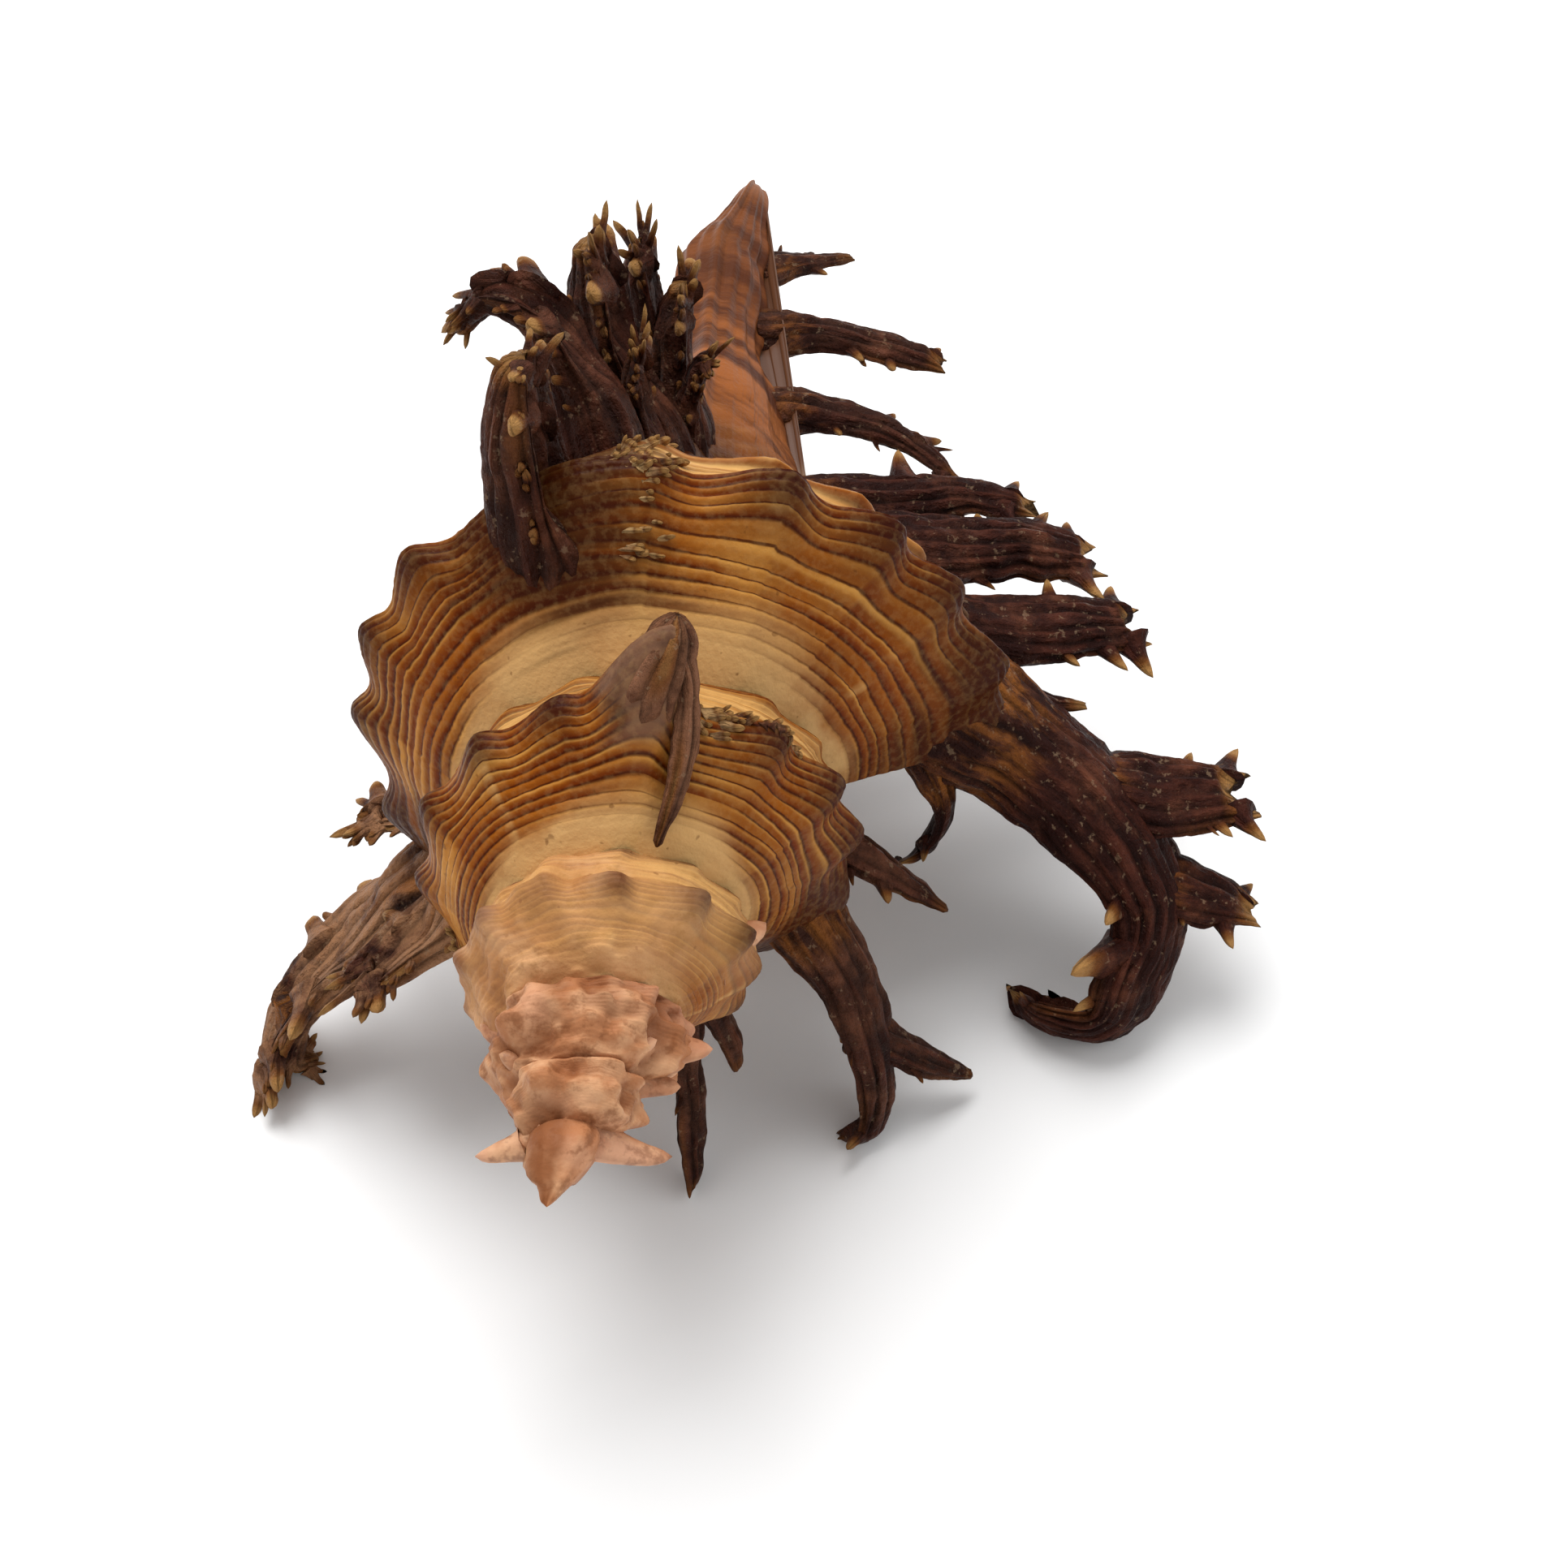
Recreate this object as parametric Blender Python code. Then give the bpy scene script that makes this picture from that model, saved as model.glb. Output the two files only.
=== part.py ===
"""A murex shell, lying aperture down on the tips of its fronds.

The shell is one grown piece, so it is one solid: coiled whorls with nodes, the
siphonal canal, the hollow of the aperture, and the branched fronds of each varix.
"""

import bmesh
import bpy
import numpy as np

MM = 0.001

# Where the shell stands. Its coiling axis runs along +Y, from the apex to the canal.
AXIS_HEIGHT = 23.0
APEX_Y = -47.3
AXIS_X = -7.1

# The whorls, in mm about the coiling axis. A whorl is EXPANSION times the one before it.
EXPANSION = 1.537
LIP_ANGLE = -12.0
TURN_STEPS = 36
SPIRE_TURNS = 4.5
BAND_ROWS = 7
BASE_ROWS = 12

# One whorl's outline at the lip, as (distance along the axis from the apex, radius).
SUTURE = (31.2, 10.4)
NEXT_SUTURE = (SUTURE[0] * EXPANSION, SUTURE[1] * EXPANSION)
BAND_OUTLINE = [SUTURE, (33.2, 13.4), (36.0, 16.2), (39.2, 18.2), (42.4, 18.9), (45.4, 18.1), NEXT_SUTURE]
BASE_OUTLINE = [NEXT_SUTURE, (50.3, 13.4), (53.0, 10.3), (56.0, 8.0), (59.5, 6.5), (63.0, 5.6), (67.0, 4.9),
                (72.0, 4.2), (77.5, 4.0), (83.0, 3.7), (88.0, 2.3), (92.0, 1.5), (94.0, 0.7)]
# The last turn, which no other covers, has a lower shoulder and a slimmer base.
LAST_BAND_OUTLINE = [SUTURE, (33.2, 13.4), (35.8, 16.3), (38.2, 18.2), (40.4, 18.9), (43.0, 17.9), (45.4, 15.6)]
LAST_BASE_OUTLINE = [LAST_BAND_OUTLINE[-1], (48.0, 12.7), (50.8, 9.9), (54.0, 7.8), (58.0, 6.3), (62.5, 5.5),
                     *BASE_OUTLINE[6:]]
SLIMMING_TURNS = 0.35
CANAL_START = 60.0
CANAL_FULL = 72.0
CANAL_BEND = [(56.0, 0.0, 0.0), (68.0, -0.3, 0.0), (76.0, -0.8, 0.0), (83.0, -1.1, 0.4), (89.0, -0.1, 1.0),
              (94.0, 0.6, 1.6)]
SLIT_ANGLE = -75.0
SLIT_HALF_ANGLE = 14.0
SLIT_DEPTH = 0.45

# Varices, counted in turns back from the lip, and the nodes between them.
VARICES = [0.0, 0.333, 0.667, 0.94, 1.25, 1.61, 2.0, 2.32, 2.65, 2.98, 3.3, 3.62, 3.95, 4.3, 4.65, 5.0, 5.35]
NODES_BETWEEN = 2
NODE_HEIGHT = 0.11
NODE_HALF_TURN = 0.026
RIB_HEIGHT = 0.05

# The aperture's hollow: an oval tube that follows the last whorl back from the lip.
HOLLOW_CENTRE = (40.2, 11.3)
HOLLOW_HALF = (6.4, 5.2)
HOLLOW_TURNS = (-0.05, 0.42)
HOLLOW_STEPS = 14
HOLLOW_SIDES = 14

# Fronds. A path is (angle round the axis, radius, distance along the axis), and the
# widths are those of its points. Spikes are (share of the length, side, length).
EXTRA_RINGS = 1
FROND_SIDES = 8
FLATNESS = {"lip": 0.5, "canal": 0.6, "back": 0.95, "left": 0.6, "right": 0.6, "front": 0.8, "spire": 0.5,
            "small": 0.9, "tip": 0.9}
SPIKE_WIDTH = 1.5
FRONDS = {
    # last varix, at the lip
    "lip_shoulder": ([(-10, 17.2, 41.5), (-17, 22.5, 41.0), (-21, 29.0, 39.0), (-25, 34.5, 35.5), (-30, 35.5, 31.5),
                      (-35, 35.8, 30.2), (-40, 33.0, 31.0), (-41, 31.0, 31.6)],
                     [10.5, 8.5, 6.5, 5.5, 5.0, 4.4, 2.6, 0.9],
                     [(0.35, 1, 3.0), (0.42, -1, 2.2), (0.55, -1, 4.0), (0.72, 1, 2.6), (0.8, 1, 2.4), (0.9, 1, 2.2)]),
    "lip_shoulder_fork": ([(-20, 28.0, 39.5), (-18, 33.5, 40.5), (-16, 38.8, 41.5)], [4.6, 4.4, 3.6],
                          [(0.95, 1, 2.2), (0.97, -1, 2.6)]),
    "lip_shoulder_tine": ([(-24, 33.0, 36.5), (-23, 38.0, 36.0), (-22, 42.5, 35.6)], [4.2, 3.0, 1.4], [(0.7, -1, 1.6)]),
    "lip_shoulder_thorn": ([(-17, 22.0, 43.0), (-15, 25.0, 44.2), (-14, 27.8, 44.6)], [2.6, 2.0, 0.8], []),
    "lip_under": ([(-13, 16.8, 38.0), (-26, 20.0, 37.2), (-36, 21.0, 36.5), (-38, 19.6, 34.6)], [4.0, 2.4, 1.7, 0.7], []),
    "lip_second": ([(-9, 13.6, 46.2), (-12, 21.0, 48.5), (-12, 27.0, 51.0), (-12, 31.0, 52.3)], [6.5, 5.2, 4.8, 3.6],
                   [(0.6, 1, 1.8), (0.75, -1, 2.0), (0.92, 1, 2.2), (0.95, -1, 2.4), (0.55, -1, 1.5)]),
    "lip_third": ([(-9, 7.6, 51.8), (-11, 17.0, 55.0), (-11, 23.0, 57.2), (-12, 28.2, 58.4)], [6.0, 5.4, 5.4, 3.8],
                  [(0.55, 1, 1.8), (0.75, 1, 2.0), (0.92, 1, 1.8), (0.9, -1, 2.4)]),
    "lip_fourth": ([(-12, 5.4, 56.2), (-12, 14.0, 60.0), (-12, 19.0, 62.2), (-13, 24.0, 63.2)], [4.6, 3.8, 3.4, 2.4],
                   [(0.4, 1, 3.0), (0.9, 1, 1.6), (0.85, -1, 1.8)]),
    "canal_first": ([(-25, 2.5, 66.5), (-16, 8.0, 68.8), (-15, 14.0, 68.3), (-15, 19.0, 65.0)], [4.0, 3.0, 2.6, 0.9],
                    [(0.6, 1, 1.4), (0.75, 1, 1.4), (0.4, -1, 1.0)]),
    "canal_second": ([(-25, 2.0, 76.5), (-16, 7.0, 78.5), (-14, 12.5, 78.8), (-14, 17.0, 78.6)], [4.0, 3.2, 3.2, 2.4],
                     [(0.5, -1, 1.2), (0.7, -1, 1.3), (0.93, 1, 1.3)]),
    "canal_third": ([(-20, 1.5, 84.5), (-14, 5.0, 87.4), (-14, 9.0, 90.4)], [3.0, 2.2, 1.0], [(0.6, -1, 0.9)]),
    # second varix, on the back
    "back_shoulder": ([(109, 11.0, 33.5), (106, 16.0, 34.2), (103.5, 21.0, 34.8), (101.5, 25.0, 35.2)], [6.6, 6.0, 5.0, 2.2],
                      [(0.6, 1, 1.8), (0.75, -1, 1.6), (0.85, 1, 1.4)]),
    "back_second": ([(107, 8.5, 43.0), (106, 16.0, 45.5), (107, 20.5, 46.0), (114, 22.8, 46.2), (123, 21.6, 46.4)],
                    [5.0, 4.4, 3.6, 2.4, 1.2], [(0.6, 1, 2.4), (0.78, 1, 1.8), (0.5, -1, 1.4)]),
    "back_third": ([(104, 4.6, 48.8), (103.5, 14.0, 51.0), (102, 18.5, 51.6), (102, 21.8, 51.9)], [5.4, 4.6, 4.6, 2.4],
                   [(0.7, 1, 2.4), (0.72, -1, 2.4), (0.9, 1, 1.2)]),
    "back_fourth": ([(101, 3.4, 54.5), (99, 14.0, 57.5), (99, 17.8, 58.0)], [3.8, 3.2, 1.6], [(0.8, -1, 1.6)]),
    "back_fifth": ([(93, 3.8, 52.4), (90, 12.5, 55.8), (89, 15.8, 56.2)], [4.0, 3.4, 2.0], [(0.8, 1, 2.0), (0.6, -1, 1.4)]),
    "back_sixth": ([(97, 5.8, 46.3), (96, 14.0, 48.0), (95, 16.4, 48.2)], [3.2, 2.6, 1.3], [(0.7, 1, 1.2)]),
    "back_seventh": ([(88, 4.4, 50.4), (83, 11.5, 52.6), (80, 13.4, 52.2)], [2.4, 1.8, 0.9], []),
    # third varix, on the left
    "left_shoulder": ([(222, 12.0, 29.5), (219, 18.5, 27.8), (217, 24.0, 26.4), (219, 29.0, 24.4), (222, 32.2, 22.2),
                       (224, 33.4, 21.0)],
                      [7.8, 6.8, 5.8, 5.0, 4.0, 2.0],
                      [(0.3, 1, 2.4), (0.45, 1, 2.0), (0.5, -1, 2.2), (0.72, -1, 2.2), (0.85, -1, 2.0), (0.88, 1, 1.6)]),
    "left_hook": ([(219, 28.0, 24.5), (224, 31.4, 23.0), (227.5, 31.4, 23.8)], [3.0, 2.0, 0.9], []),
    "left_lobe": ([(213, 8.8, 25.4), (212, 15.0, 22.6), (212, 18.6, 20.2)], [5.0, 4.2, 3.2], [(0.85, -1, 1.6), (0.9, 1, 1.2)]),
    "left_second": ([(222, 8.8, 35.0), (217, 19.0, 36.3), (213, 24.0, 36.4)], [4.4, 3.4, 2.2], [(0.85, 1, 1.6), (0.6, 1, 1.4)]),
    "left_third": ([(226, 4.0, 42.0), (226, 18.0, 45.5), (228, 25.0, 46.5)], [4.6, 3.8, 1.8], [(0.6, 1, 1.6), (0.7, -1, 1.6)]),
    "left_fourth": ([(230, 2.6, 49.0), (231, 17.0, 54.0), (233, 25.5, 55.5)], [4.2, 3.6, 1.8], [(0.6, -1, 1.6), (0.75, 1, 1.6)]),
    "left_fifth": ([(232, 2.5, 57.0), (236, 15.0, 61.5), (238, 23.0, 62.6), (240, 27.4, 62.8)], [4.0, 3.4, 3.0, 2.2],
                   [(0.6, 1, 1.6), (0.8, -1, 1.6)]),
    "left_canal": ([(225, 2.0, 70.0), (222, 7.0, 71.0), (220, 11.0, 71.5)], [3.0, 2.4, 1.2], [(0.6, -1, 1.2)]),
    # varices of the whorl before
    "right_old_shoulder": ([(-34, 10.0, 27.5), (-43, 17.0, 25.2), (-50, 22.5, 23.0), (-56, 26.6, 21.4), (-60, 26.8, 20.6)],
                           [6.0, 4.8, 4.0, 3.4, 1.8], [(0.7, 1, 1.4), (0.85, -1, 1.4)]),
    "right_old_fork": ([(-48, 21.0, 23.8), (-46, 25.5, 24.2), (-45, 30.0, 25.2)], [2.8, 2.2, 0.8], []),
    "right_old_second": ([(-26, 10.5, 31.0), (-29, 16.0, 30.6), (-30, 21.6, 30.0)], [3.2, 2.6, 0.8], [(0.6, -1, 1.2)]),
    "front_leg": ([(-72, 9.0, 25.0), (-77, 15.0, 21.0), (-79, 19.5, 18.4), (-80, 23.8, 15.8)], [3.6, 3.0, 2.8, 2.4],
                  [(0.75, 1, 1.2)]),
    "front_stub": ([(-56, 6.2, 21.4), (-60, 12.0, 19.6), (-61, 14.4, 18.4)], [2.4, 1.9, 1.2], []),
    "spire_frond": ([(76, 8.0, 22.6), (77, 11.5, 23.8), (77, 14.5, 24.6), (77, 17.0, 25.0)], [5.0, 4.2, 3.2, 1.4], []),
    "spire_hook": ([(72, 8.0, 22.5), (69, 11.6, 21.4), (63, 11.9, 19.4), (58, 10.8, 17.8)], [3.8, 3.2, 2.2, 0.9], []),
    "spire_right_stub": ([(-2, 6.0, 17.4), (-1, 8.6, 18.2)], [2.8, 1.8], []),
    "small_right_stub": ([(-6, 4.0, 11.0), (-4, 6.7, 10.4)], [2.2, 1.3], []),
    "small_low_stub": ([(-18, 3.4, 9.4), (-14, 5.6, 8.4)], [1.9, 1.2], []),
    "small_left_stub": ([(186, 2.8, 10.8), (186, 5.4, 11.0)], [2.2, 1.5], []),
    "tip_left_spine": ([(190, 0.3, 5.2), (192, 4.0, 3.6)], [2.0, 0.7], []),
    "tip_right_spine": ([(-14, 0.4, 5.6), (-18, 3.4, 4.6), (-24, 5.8, 4.0)], [2.6, 1.9, 0.9], []),
}


def place(points):
    """Points in mm about the coiling axis, moved to where the shell stands, in metres."""
    return (np.asarray(points, float) + [AXIS_X, APEX_Y, AXIS_HEIGHT]) * MM


def about_axis(angle_deg, radius, along):
    """Cylindrical coordinates about the coiling axis as x, y, z in mm."""
    angle = np.radians(angle_deg)
    return np.stack([radius * np.cos(angle), along + 0 * angle, radius * np.sin(angle)], -1)


def through(points, count):
    """A smooth curve of count points through the given ones: a Catmull-Rom spline."""
    points = np.asarray(points, float)
    padded = np.vstack([2 * points[0] - points[1], points, 2 * points[-1] - points[-2]])
    place_on = np.linspace(0, len(points) - 1, count)
    i = np.minimum(place_on.astype(int), len(points) - 2)
    f = (place_on - i)[:, None]
    a, b, c, d = padded[i], padded[i + 1], padded[i + 2], padded[i + 3]
    return 0.5 * (2 * b + (c - a) * f + (2 * a - 5 * b + 4 * c - d) * f**2 + (3 * b - a - 3 * c + d) * f**3)


def mesh_object(name, points, faces, collection):
    """A mesh object from points in mm about the axis, pressed flat where it would go below the floor."""
    points = np.array(points, float)
    points[:, 2] = np.maximum(points[:, 2], -AXIS_HEIGHT)
    mesh = bpy.data.meshes.new(name)
    mesh.from_pydata(place(points).tolist(), [], faces)
    shape = bmesh.new()
    shape.from_mesh(mesh)
    bmesh.ops.remove_doubles(shape, verts=shape.verts, dist=0.01 * MM)
    bmesh.ops.recalc_face_normals(shape, faces=shape.faces)
    shape.to_mesh(mesh)
    shape.free()
    obj = bpy.data.objects.new(name, mesh)
    collection.objects.link(obj)
    return obj


def relief(turns, band_share):
    """How far nodes and varix ribs raise the surface, as a share of the radius.

    A node is a bump round the shoulder, a varix is a taller one that runs on down the whorl."""
    raised = np.zeros_like(turns)
    shoulder = np.exp(-(((band_share - 0.36) / 0.3) ** 2))
    for start, end in zip(VARICES[:-1], VARICES[1:]):
        for k in range(NODES_BETWEEN + 1):
            at = start + (end - start) * k / (NODES_BETWEEN + 1)
            near = np.exp(-(((turns - at) / NODE_HALF_TURN) ** 2))
            raised += near * (NODE_HEIGHT * shoulder if k else RIB_HEIGHT * (0.5 + shoulder))
    return raised


def canal_shift(along):
    """How far the canal's middle lies from the coiling axis, as x and z in mm."""
    bend = np.array(CANAL_BEND)
    return np.interp(along, bend[:, 0], bend[:, 1]), np.interp(along, bend[:, 0], bend[:, 2])


def whorl_surface():
    """Points and faces of the outer surface, as one strip wound from the apex to the lip.

    Its far edge is the near edge of the next turn, and the last turn goes on into the canal."""
    band = through(BAND_OUTLINE, BAND_ROWS + 1)
    full_base = through(BASE_OUTLINE, BASE_ROWS + 1)
    last_band = through(LAST_BAND_OUTLINE, BAND_ROWS + 1)
    last_base = through(LAST_BASE_OUTLINE, BASE_ROWS + 1)
    columns = np.arange(int(SPIRE_TURNS * TURN_STEPS), -1, -1)
    points, faces, grid = [], [], {}
    for column in columns:
        turns = column / TURN_STEPS
        angle = LIP_ANGLE + 360 * turns
        scale = EXPANSION**-turns
        rows = band * scale
        if column <= TURN_STEPS:
            slim = np.clip((1 - turns) / SLIMMING_TURNS, 0, 1)
            slim = slim * slim * (3 - 2 * slim)
            rows = (band + (last_band - band) * slim) * scale
            base = full_base + (last_base - full_base) * slim
            free = np.clip((base[:, 0] - CANAL_START) / (CANAL_FULL - CANAL_START), 0, 1)
            grown = scale + (1 - scale) * (free * free * (3 - 2 * free))[:, None]
            rows = np.vstack([rows, (base * grown)[1:]])
        share = np.clip(np.arange(len(rows)) / BAND_ROWS, 0, 2)
        edge = np.clip(np.minimum(share, 1 - share) * 6, 0, 1)
        edge = np.where(share > 1, 0, edge)
        radius = rows[:, 1] * (1 + relief(np.full(len(rows), turns), share) * edge)
        away = (angle - SLIT_ANGLE + 180) % 360 - 180
        on_canal = np.clip((rows[:, 0] - CANAL_START) / (CANAL_FULL - CANAL_START), 0, 1)
        radius = radius * (1 - SLIT_DEPTH * on_canal * np.exp(-((away / SLIT_HALF_ANGLE) ** 2)))
        line = about_axis(np.full(len(rows), angle), radius, rows[:, 0])
        shift_x, shift_z = canal_shift(rows[:, 0])
        line[:, 0] += shift_x
        line[:, 2] += shift_z
        for row, point in enumerate(line):
            grid[column, row] = len(points)
            points.append(point)
    for column in columns[:-1]:
        last = BAND_ROWS + (BASE_ROWS if column <= TURN_STEPS else 0)
        for row in range(last):
            faces.append([grid[column, row], grid[column, row + 1], grid[column - 1, row + 1], grid[column - 1, row]])
    # The end of the canal, and the pointed first turn at the apex.
    end = BAND_ROWS + BASE_ROWS
    faces.append([grid[column, end] for column in range(TURN_STEPS)])
    tip = len(points)
    points.append([0.0, 0.6, 0.0])
    first = int(SPIRE_TURNS * TURN_STEPS)
    ring = [grid[first - k, 0] for k in range(TURN_STEPS)] + [grid[first, BAND_ROWS]]
    faces += [[ring[k], ring[k + 1], tip] for k in range(TURN_STEPS)]
    faces.append([grid[first, row] for row in range(BAND_ROWS + 1)] + [tip])
    # The flat face of the lip, between the last growth line and the turn before it.
    lip = [grid[0, row] for row in range(BAND_ROWS + BASE_ROWS + 1)]
    before = [grid[TURN_STEPS, row] for row in range(BAND_ROWS + 1, BAND_ROWS + BASE_ROWS)]
    faces.append(lip + before[::-1])
    return np.array(points), faces


def aperture_hollow(collection):
    """The cutter for the aperture: ovals along the spiral, narrowing as they go in."""
    phase = np.linspace(0, 2 * np.pi, HOLLOW_SIDES, endpoint=False)
    rings = []
    for turns in np.linspace(*HOLLOW_TURNS, HOLLOW_STEPS):
        scale = EXPANSION**-turns
        inside = np.clip(turns / HOLLOW_TURNS[1], 0, 1)
        narrow = 1 - 0.35 * inside**3
        along = (HOLLOW_CENTRE[0] + HOLLOW_HALF[0] * narrow * np.cos(phase)) * scale
        radius = (HOLLOW_CENTRE[1] + HOLLOW_HALF[1] * narrow * np.sin(phase)) * scale
        rings.append(about_axis(np.full(HOLLOW_SIDES, LIP_ANGLE + 360 * turns), radius, along))
    cutter = mesh_object("aperture_hollow", *loft(rings), collection)
    return cutter


def loft(rings):
    """Points and faces of a closed tube through rings of equal numbers of points."""
    sides = len(rings[0])
    faces = []
    for ring in range(len(rings) - 1):
        for k in range(sides):
            a, b = ring * sides + k, ring * sides + (k + 1) % sides
            faces.append([a, b, b + sides, a + sides])
    faces.append(list(range(sides))[::-1])
    faces.append(list(range((len(rings) - 1) * sides, len(rings) * sides)))
    return np.vstack(rings), faces


def frond_frame(line):
    """Directions along a frond's line and across it. Across starts along the varix and never twists."""
    forward = np.gradient(line, axis=0)
    forward /= np.linalg.norm(forward, axis=1)[:, None]
    across = np.zeros_like(forward)
    held = np.array([0.0, 1.0, 0.0])
    for k, ahead in enumerate(forward):
        held = held - held.dot(ahead) * ahead
        held /= np.linalg.norm(held)
        across[k] = held
    return forward, across, np.cross(forward, across)


def frond_stem(name, path, widths, collection):
    """A frond's stem: a flattened tube whose back is arched. It returns the line, widths and directions."""
    path = np.array(path, float)
    count = len(path) + EXTRA_RINGS
    line = through(about_axis(path[:, 0], path[:, 1], path[:, 2]), count)
    wide = np.interp(np.linspace(0, 1, count), np.linspace(0, 1, len(widths)), widths)
    forward, across, thick = frond_frame(line)
    phase = np.linspace(0, 2 * np.pi, FROND_SIDES, endpoint=False) + np.pi / FROND_SIDES
    rings = []
    for k in range(count):
        half = wide[k] / 2
        deep = half * (FLATNESS[name.split("_")[0]] + 0.2 * (1 - k / (count - 1)))
        ring = line[k] + np.outer(np.cos(phase) * half, across[k]) + np.outer(np.sin(phase) * deep, thick[k])
        rings.append(ring)
    mesh_object(name, *loft(rings), collection)
    return line, wide, forward, across


def frond_spike(name, share, side, length, stem, collection):
    """A pointed side branch: a four-sided spike from inside the stem, leaning forward."""
    line, wide, forward, across = stem
    where = share * (len(line) - 1)
    k = min(int(where), len(line) - 2)
    root = line[k] + (line[k + 1] - line[k]) * (where - k)
    lean = across[k] * side + forward[k] * 0.8
    lean /= np.linalg.norm(lean)
    up = np.cross(lean, forward[k])
    up /= np.linalg.norm(up)
    flank = np.cross(up, lean)
    half = min(SPIKE_WIDTH, wide[k] * 0.45) / 2 + 0.2
    start = root + across[k] * side * wide[k] * 0.22
    tip = root + across[k] * side * wide[k] * 0.42 + lean * length
    corners = [start + up * half, start + flank * half * 1.3, start - up * half, start - flank * half * 1.3]
    tip_corners = [tip + (corner - start) * 0.22 for corner in corners]
    mesh_object(name, *loft([np.array(corners), np.array(tip_corners)]), collection)


def grow_fronds(collection):
    """Every frond with its spikes, each a closed piece that reaches into the whorl."""
    for name, (path, widths, spikes) in FRONDS.items():
        stem = frond_stem(name, path, widths, collection)
        for number, (share, side, length) in enumerate(spikes):
            frond_spike(f"{name}_spike_{number}", share, side, length, stem, collection)


def shell_material():
    """Shell lime, amber with brown: a satin natural surface."""
    material = bpy.data.materials.new("shell_lime")
    material.use_nodes = True
    shader = material.node_tree.nodes["Principled BSDF"]
    shader.inputs["Base Color"].default_value = (0.34, 0.18, 0.07, 1)
    shader.inputs["Roughness"].default_value = 0.5
    shader.inputs["Metallic"].default_value = 0.0
    return material


def new_collection(name):
    collection = bpy.data.collections.new(name)
    bpy.context.scene.collection.children.link(collection)
    return collection


def add_boolean(obj, name, operation, cutter=None, collection=None):
    """A Boolean with one object, or with every object of a collection."""
    modifier = obj.modifiers.new(name, "BOOLEAN")
    modifier.operation = operation
    modifier.solver = "EXACT"
    if collection:
        modifier.operand_type = "COLLECTION"
        modifier.collection = collection
    else:
        modifier.object = cutter


def main():
    for obj in list(bpy.data.objects):
        bpy.data.objects.remove(obj)
    shells = new_collection("murex_shell")
    growths = new_collection("fronds_joined_to_the_shell")
    cutters = new_collection("cutters")
    shell = mesh_object("murex_shell", *whorl_surface(), shells)
    shell.data.materials.append(shell_material())
    hollow = aperture_hollow(cutters)
    grow_fronds(growths)
    for helper in list(growths.objects) + list(cutters.objects):
        helper.hide_render = True
        helper.display_type = "WIRE"
    add_boolean(shell, "aperture", "DIFFERENCE", cutter=hollow)
    add_boolean(shell, "fronds", "UNION", collection=growths)


main()
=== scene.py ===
"""The murex shell as it looks: whorls with spiral cords and nodes, the mouth, the canal and the fronds.

Shapes are worked out in mm about the coiling axis, which runs along +Y from the apex to the canal,
and are then moved to where the shell stands on the floor.
"""

import math

import bpy
import numpy as np
from bpy.props import FloatProperty, IntProperty, PointerProperty, StringProperty
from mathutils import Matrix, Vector


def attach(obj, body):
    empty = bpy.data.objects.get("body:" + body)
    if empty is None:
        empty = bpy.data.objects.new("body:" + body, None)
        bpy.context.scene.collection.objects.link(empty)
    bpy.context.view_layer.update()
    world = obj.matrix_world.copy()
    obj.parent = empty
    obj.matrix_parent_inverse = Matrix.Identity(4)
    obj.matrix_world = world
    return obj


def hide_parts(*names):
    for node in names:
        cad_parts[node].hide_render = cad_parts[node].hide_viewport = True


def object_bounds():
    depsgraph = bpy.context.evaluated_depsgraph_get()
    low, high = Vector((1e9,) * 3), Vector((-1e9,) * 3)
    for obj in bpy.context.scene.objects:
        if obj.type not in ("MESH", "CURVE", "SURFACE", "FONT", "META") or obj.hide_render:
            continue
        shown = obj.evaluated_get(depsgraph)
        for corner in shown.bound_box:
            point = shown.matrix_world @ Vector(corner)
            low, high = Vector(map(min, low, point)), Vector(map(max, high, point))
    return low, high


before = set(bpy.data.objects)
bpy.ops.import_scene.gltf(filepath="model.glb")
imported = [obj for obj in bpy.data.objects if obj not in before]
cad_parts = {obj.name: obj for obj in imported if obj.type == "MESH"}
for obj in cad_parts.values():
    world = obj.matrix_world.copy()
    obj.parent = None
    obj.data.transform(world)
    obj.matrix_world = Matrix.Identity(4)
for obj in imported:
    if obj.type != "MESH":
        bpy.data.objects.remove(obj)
CAD_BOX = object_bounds()

bl_info = {
    "name": "Murex shell",
    "version": (1, 0, 0),
    "blender": (4, 5, 0),
    "location": "3D View > Sidebar > Murex",
    "description": "Builds a murex shell lying on its fronds",
    "category": "Add Mesh",
}

MM = 0.001
BOX_MARGIN = 1.2 * MM

# Where the shell stands, as in the CAD model.
AXIS_HEIGHT = 23.0
APEX_Y = -47.3
AXIS_X = -7.1

# The coil, as in the CAD model: a whorl is EXPANSION times the one before it.
EXPANSION = 1.537
LIP_ANGLE = -12.0
SUTURE = (31.2, 10.4)
NEXT_SUTURE = (SUTURE[0] * EXPANSION, SUTURE[1] * EXPANSION)
BAND_OUTLINE = [SUTURE, (33.2, 13.4), (36.0, 16.2), (39.2, 18.2), (42.4, 18.9), (45.4, 18.1), NEXT_SUTURE]
CANAL_OUTLINE = [(67.0, 4.9), (72.0, 4.2), (77.5, 4.0), (83.0, 3.7), (88.0, 2.3), (92.0, 1.5), (94.0, 0.7)]
BASE_OUTLINE = [
    NEXT_SUTURE, (50.3, 13.4), (53.0, 10.3), (56.0, 8.0), (59.5, 6.5), (63.0, 5.6), *CANAL_OUTLINE
]
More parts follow.
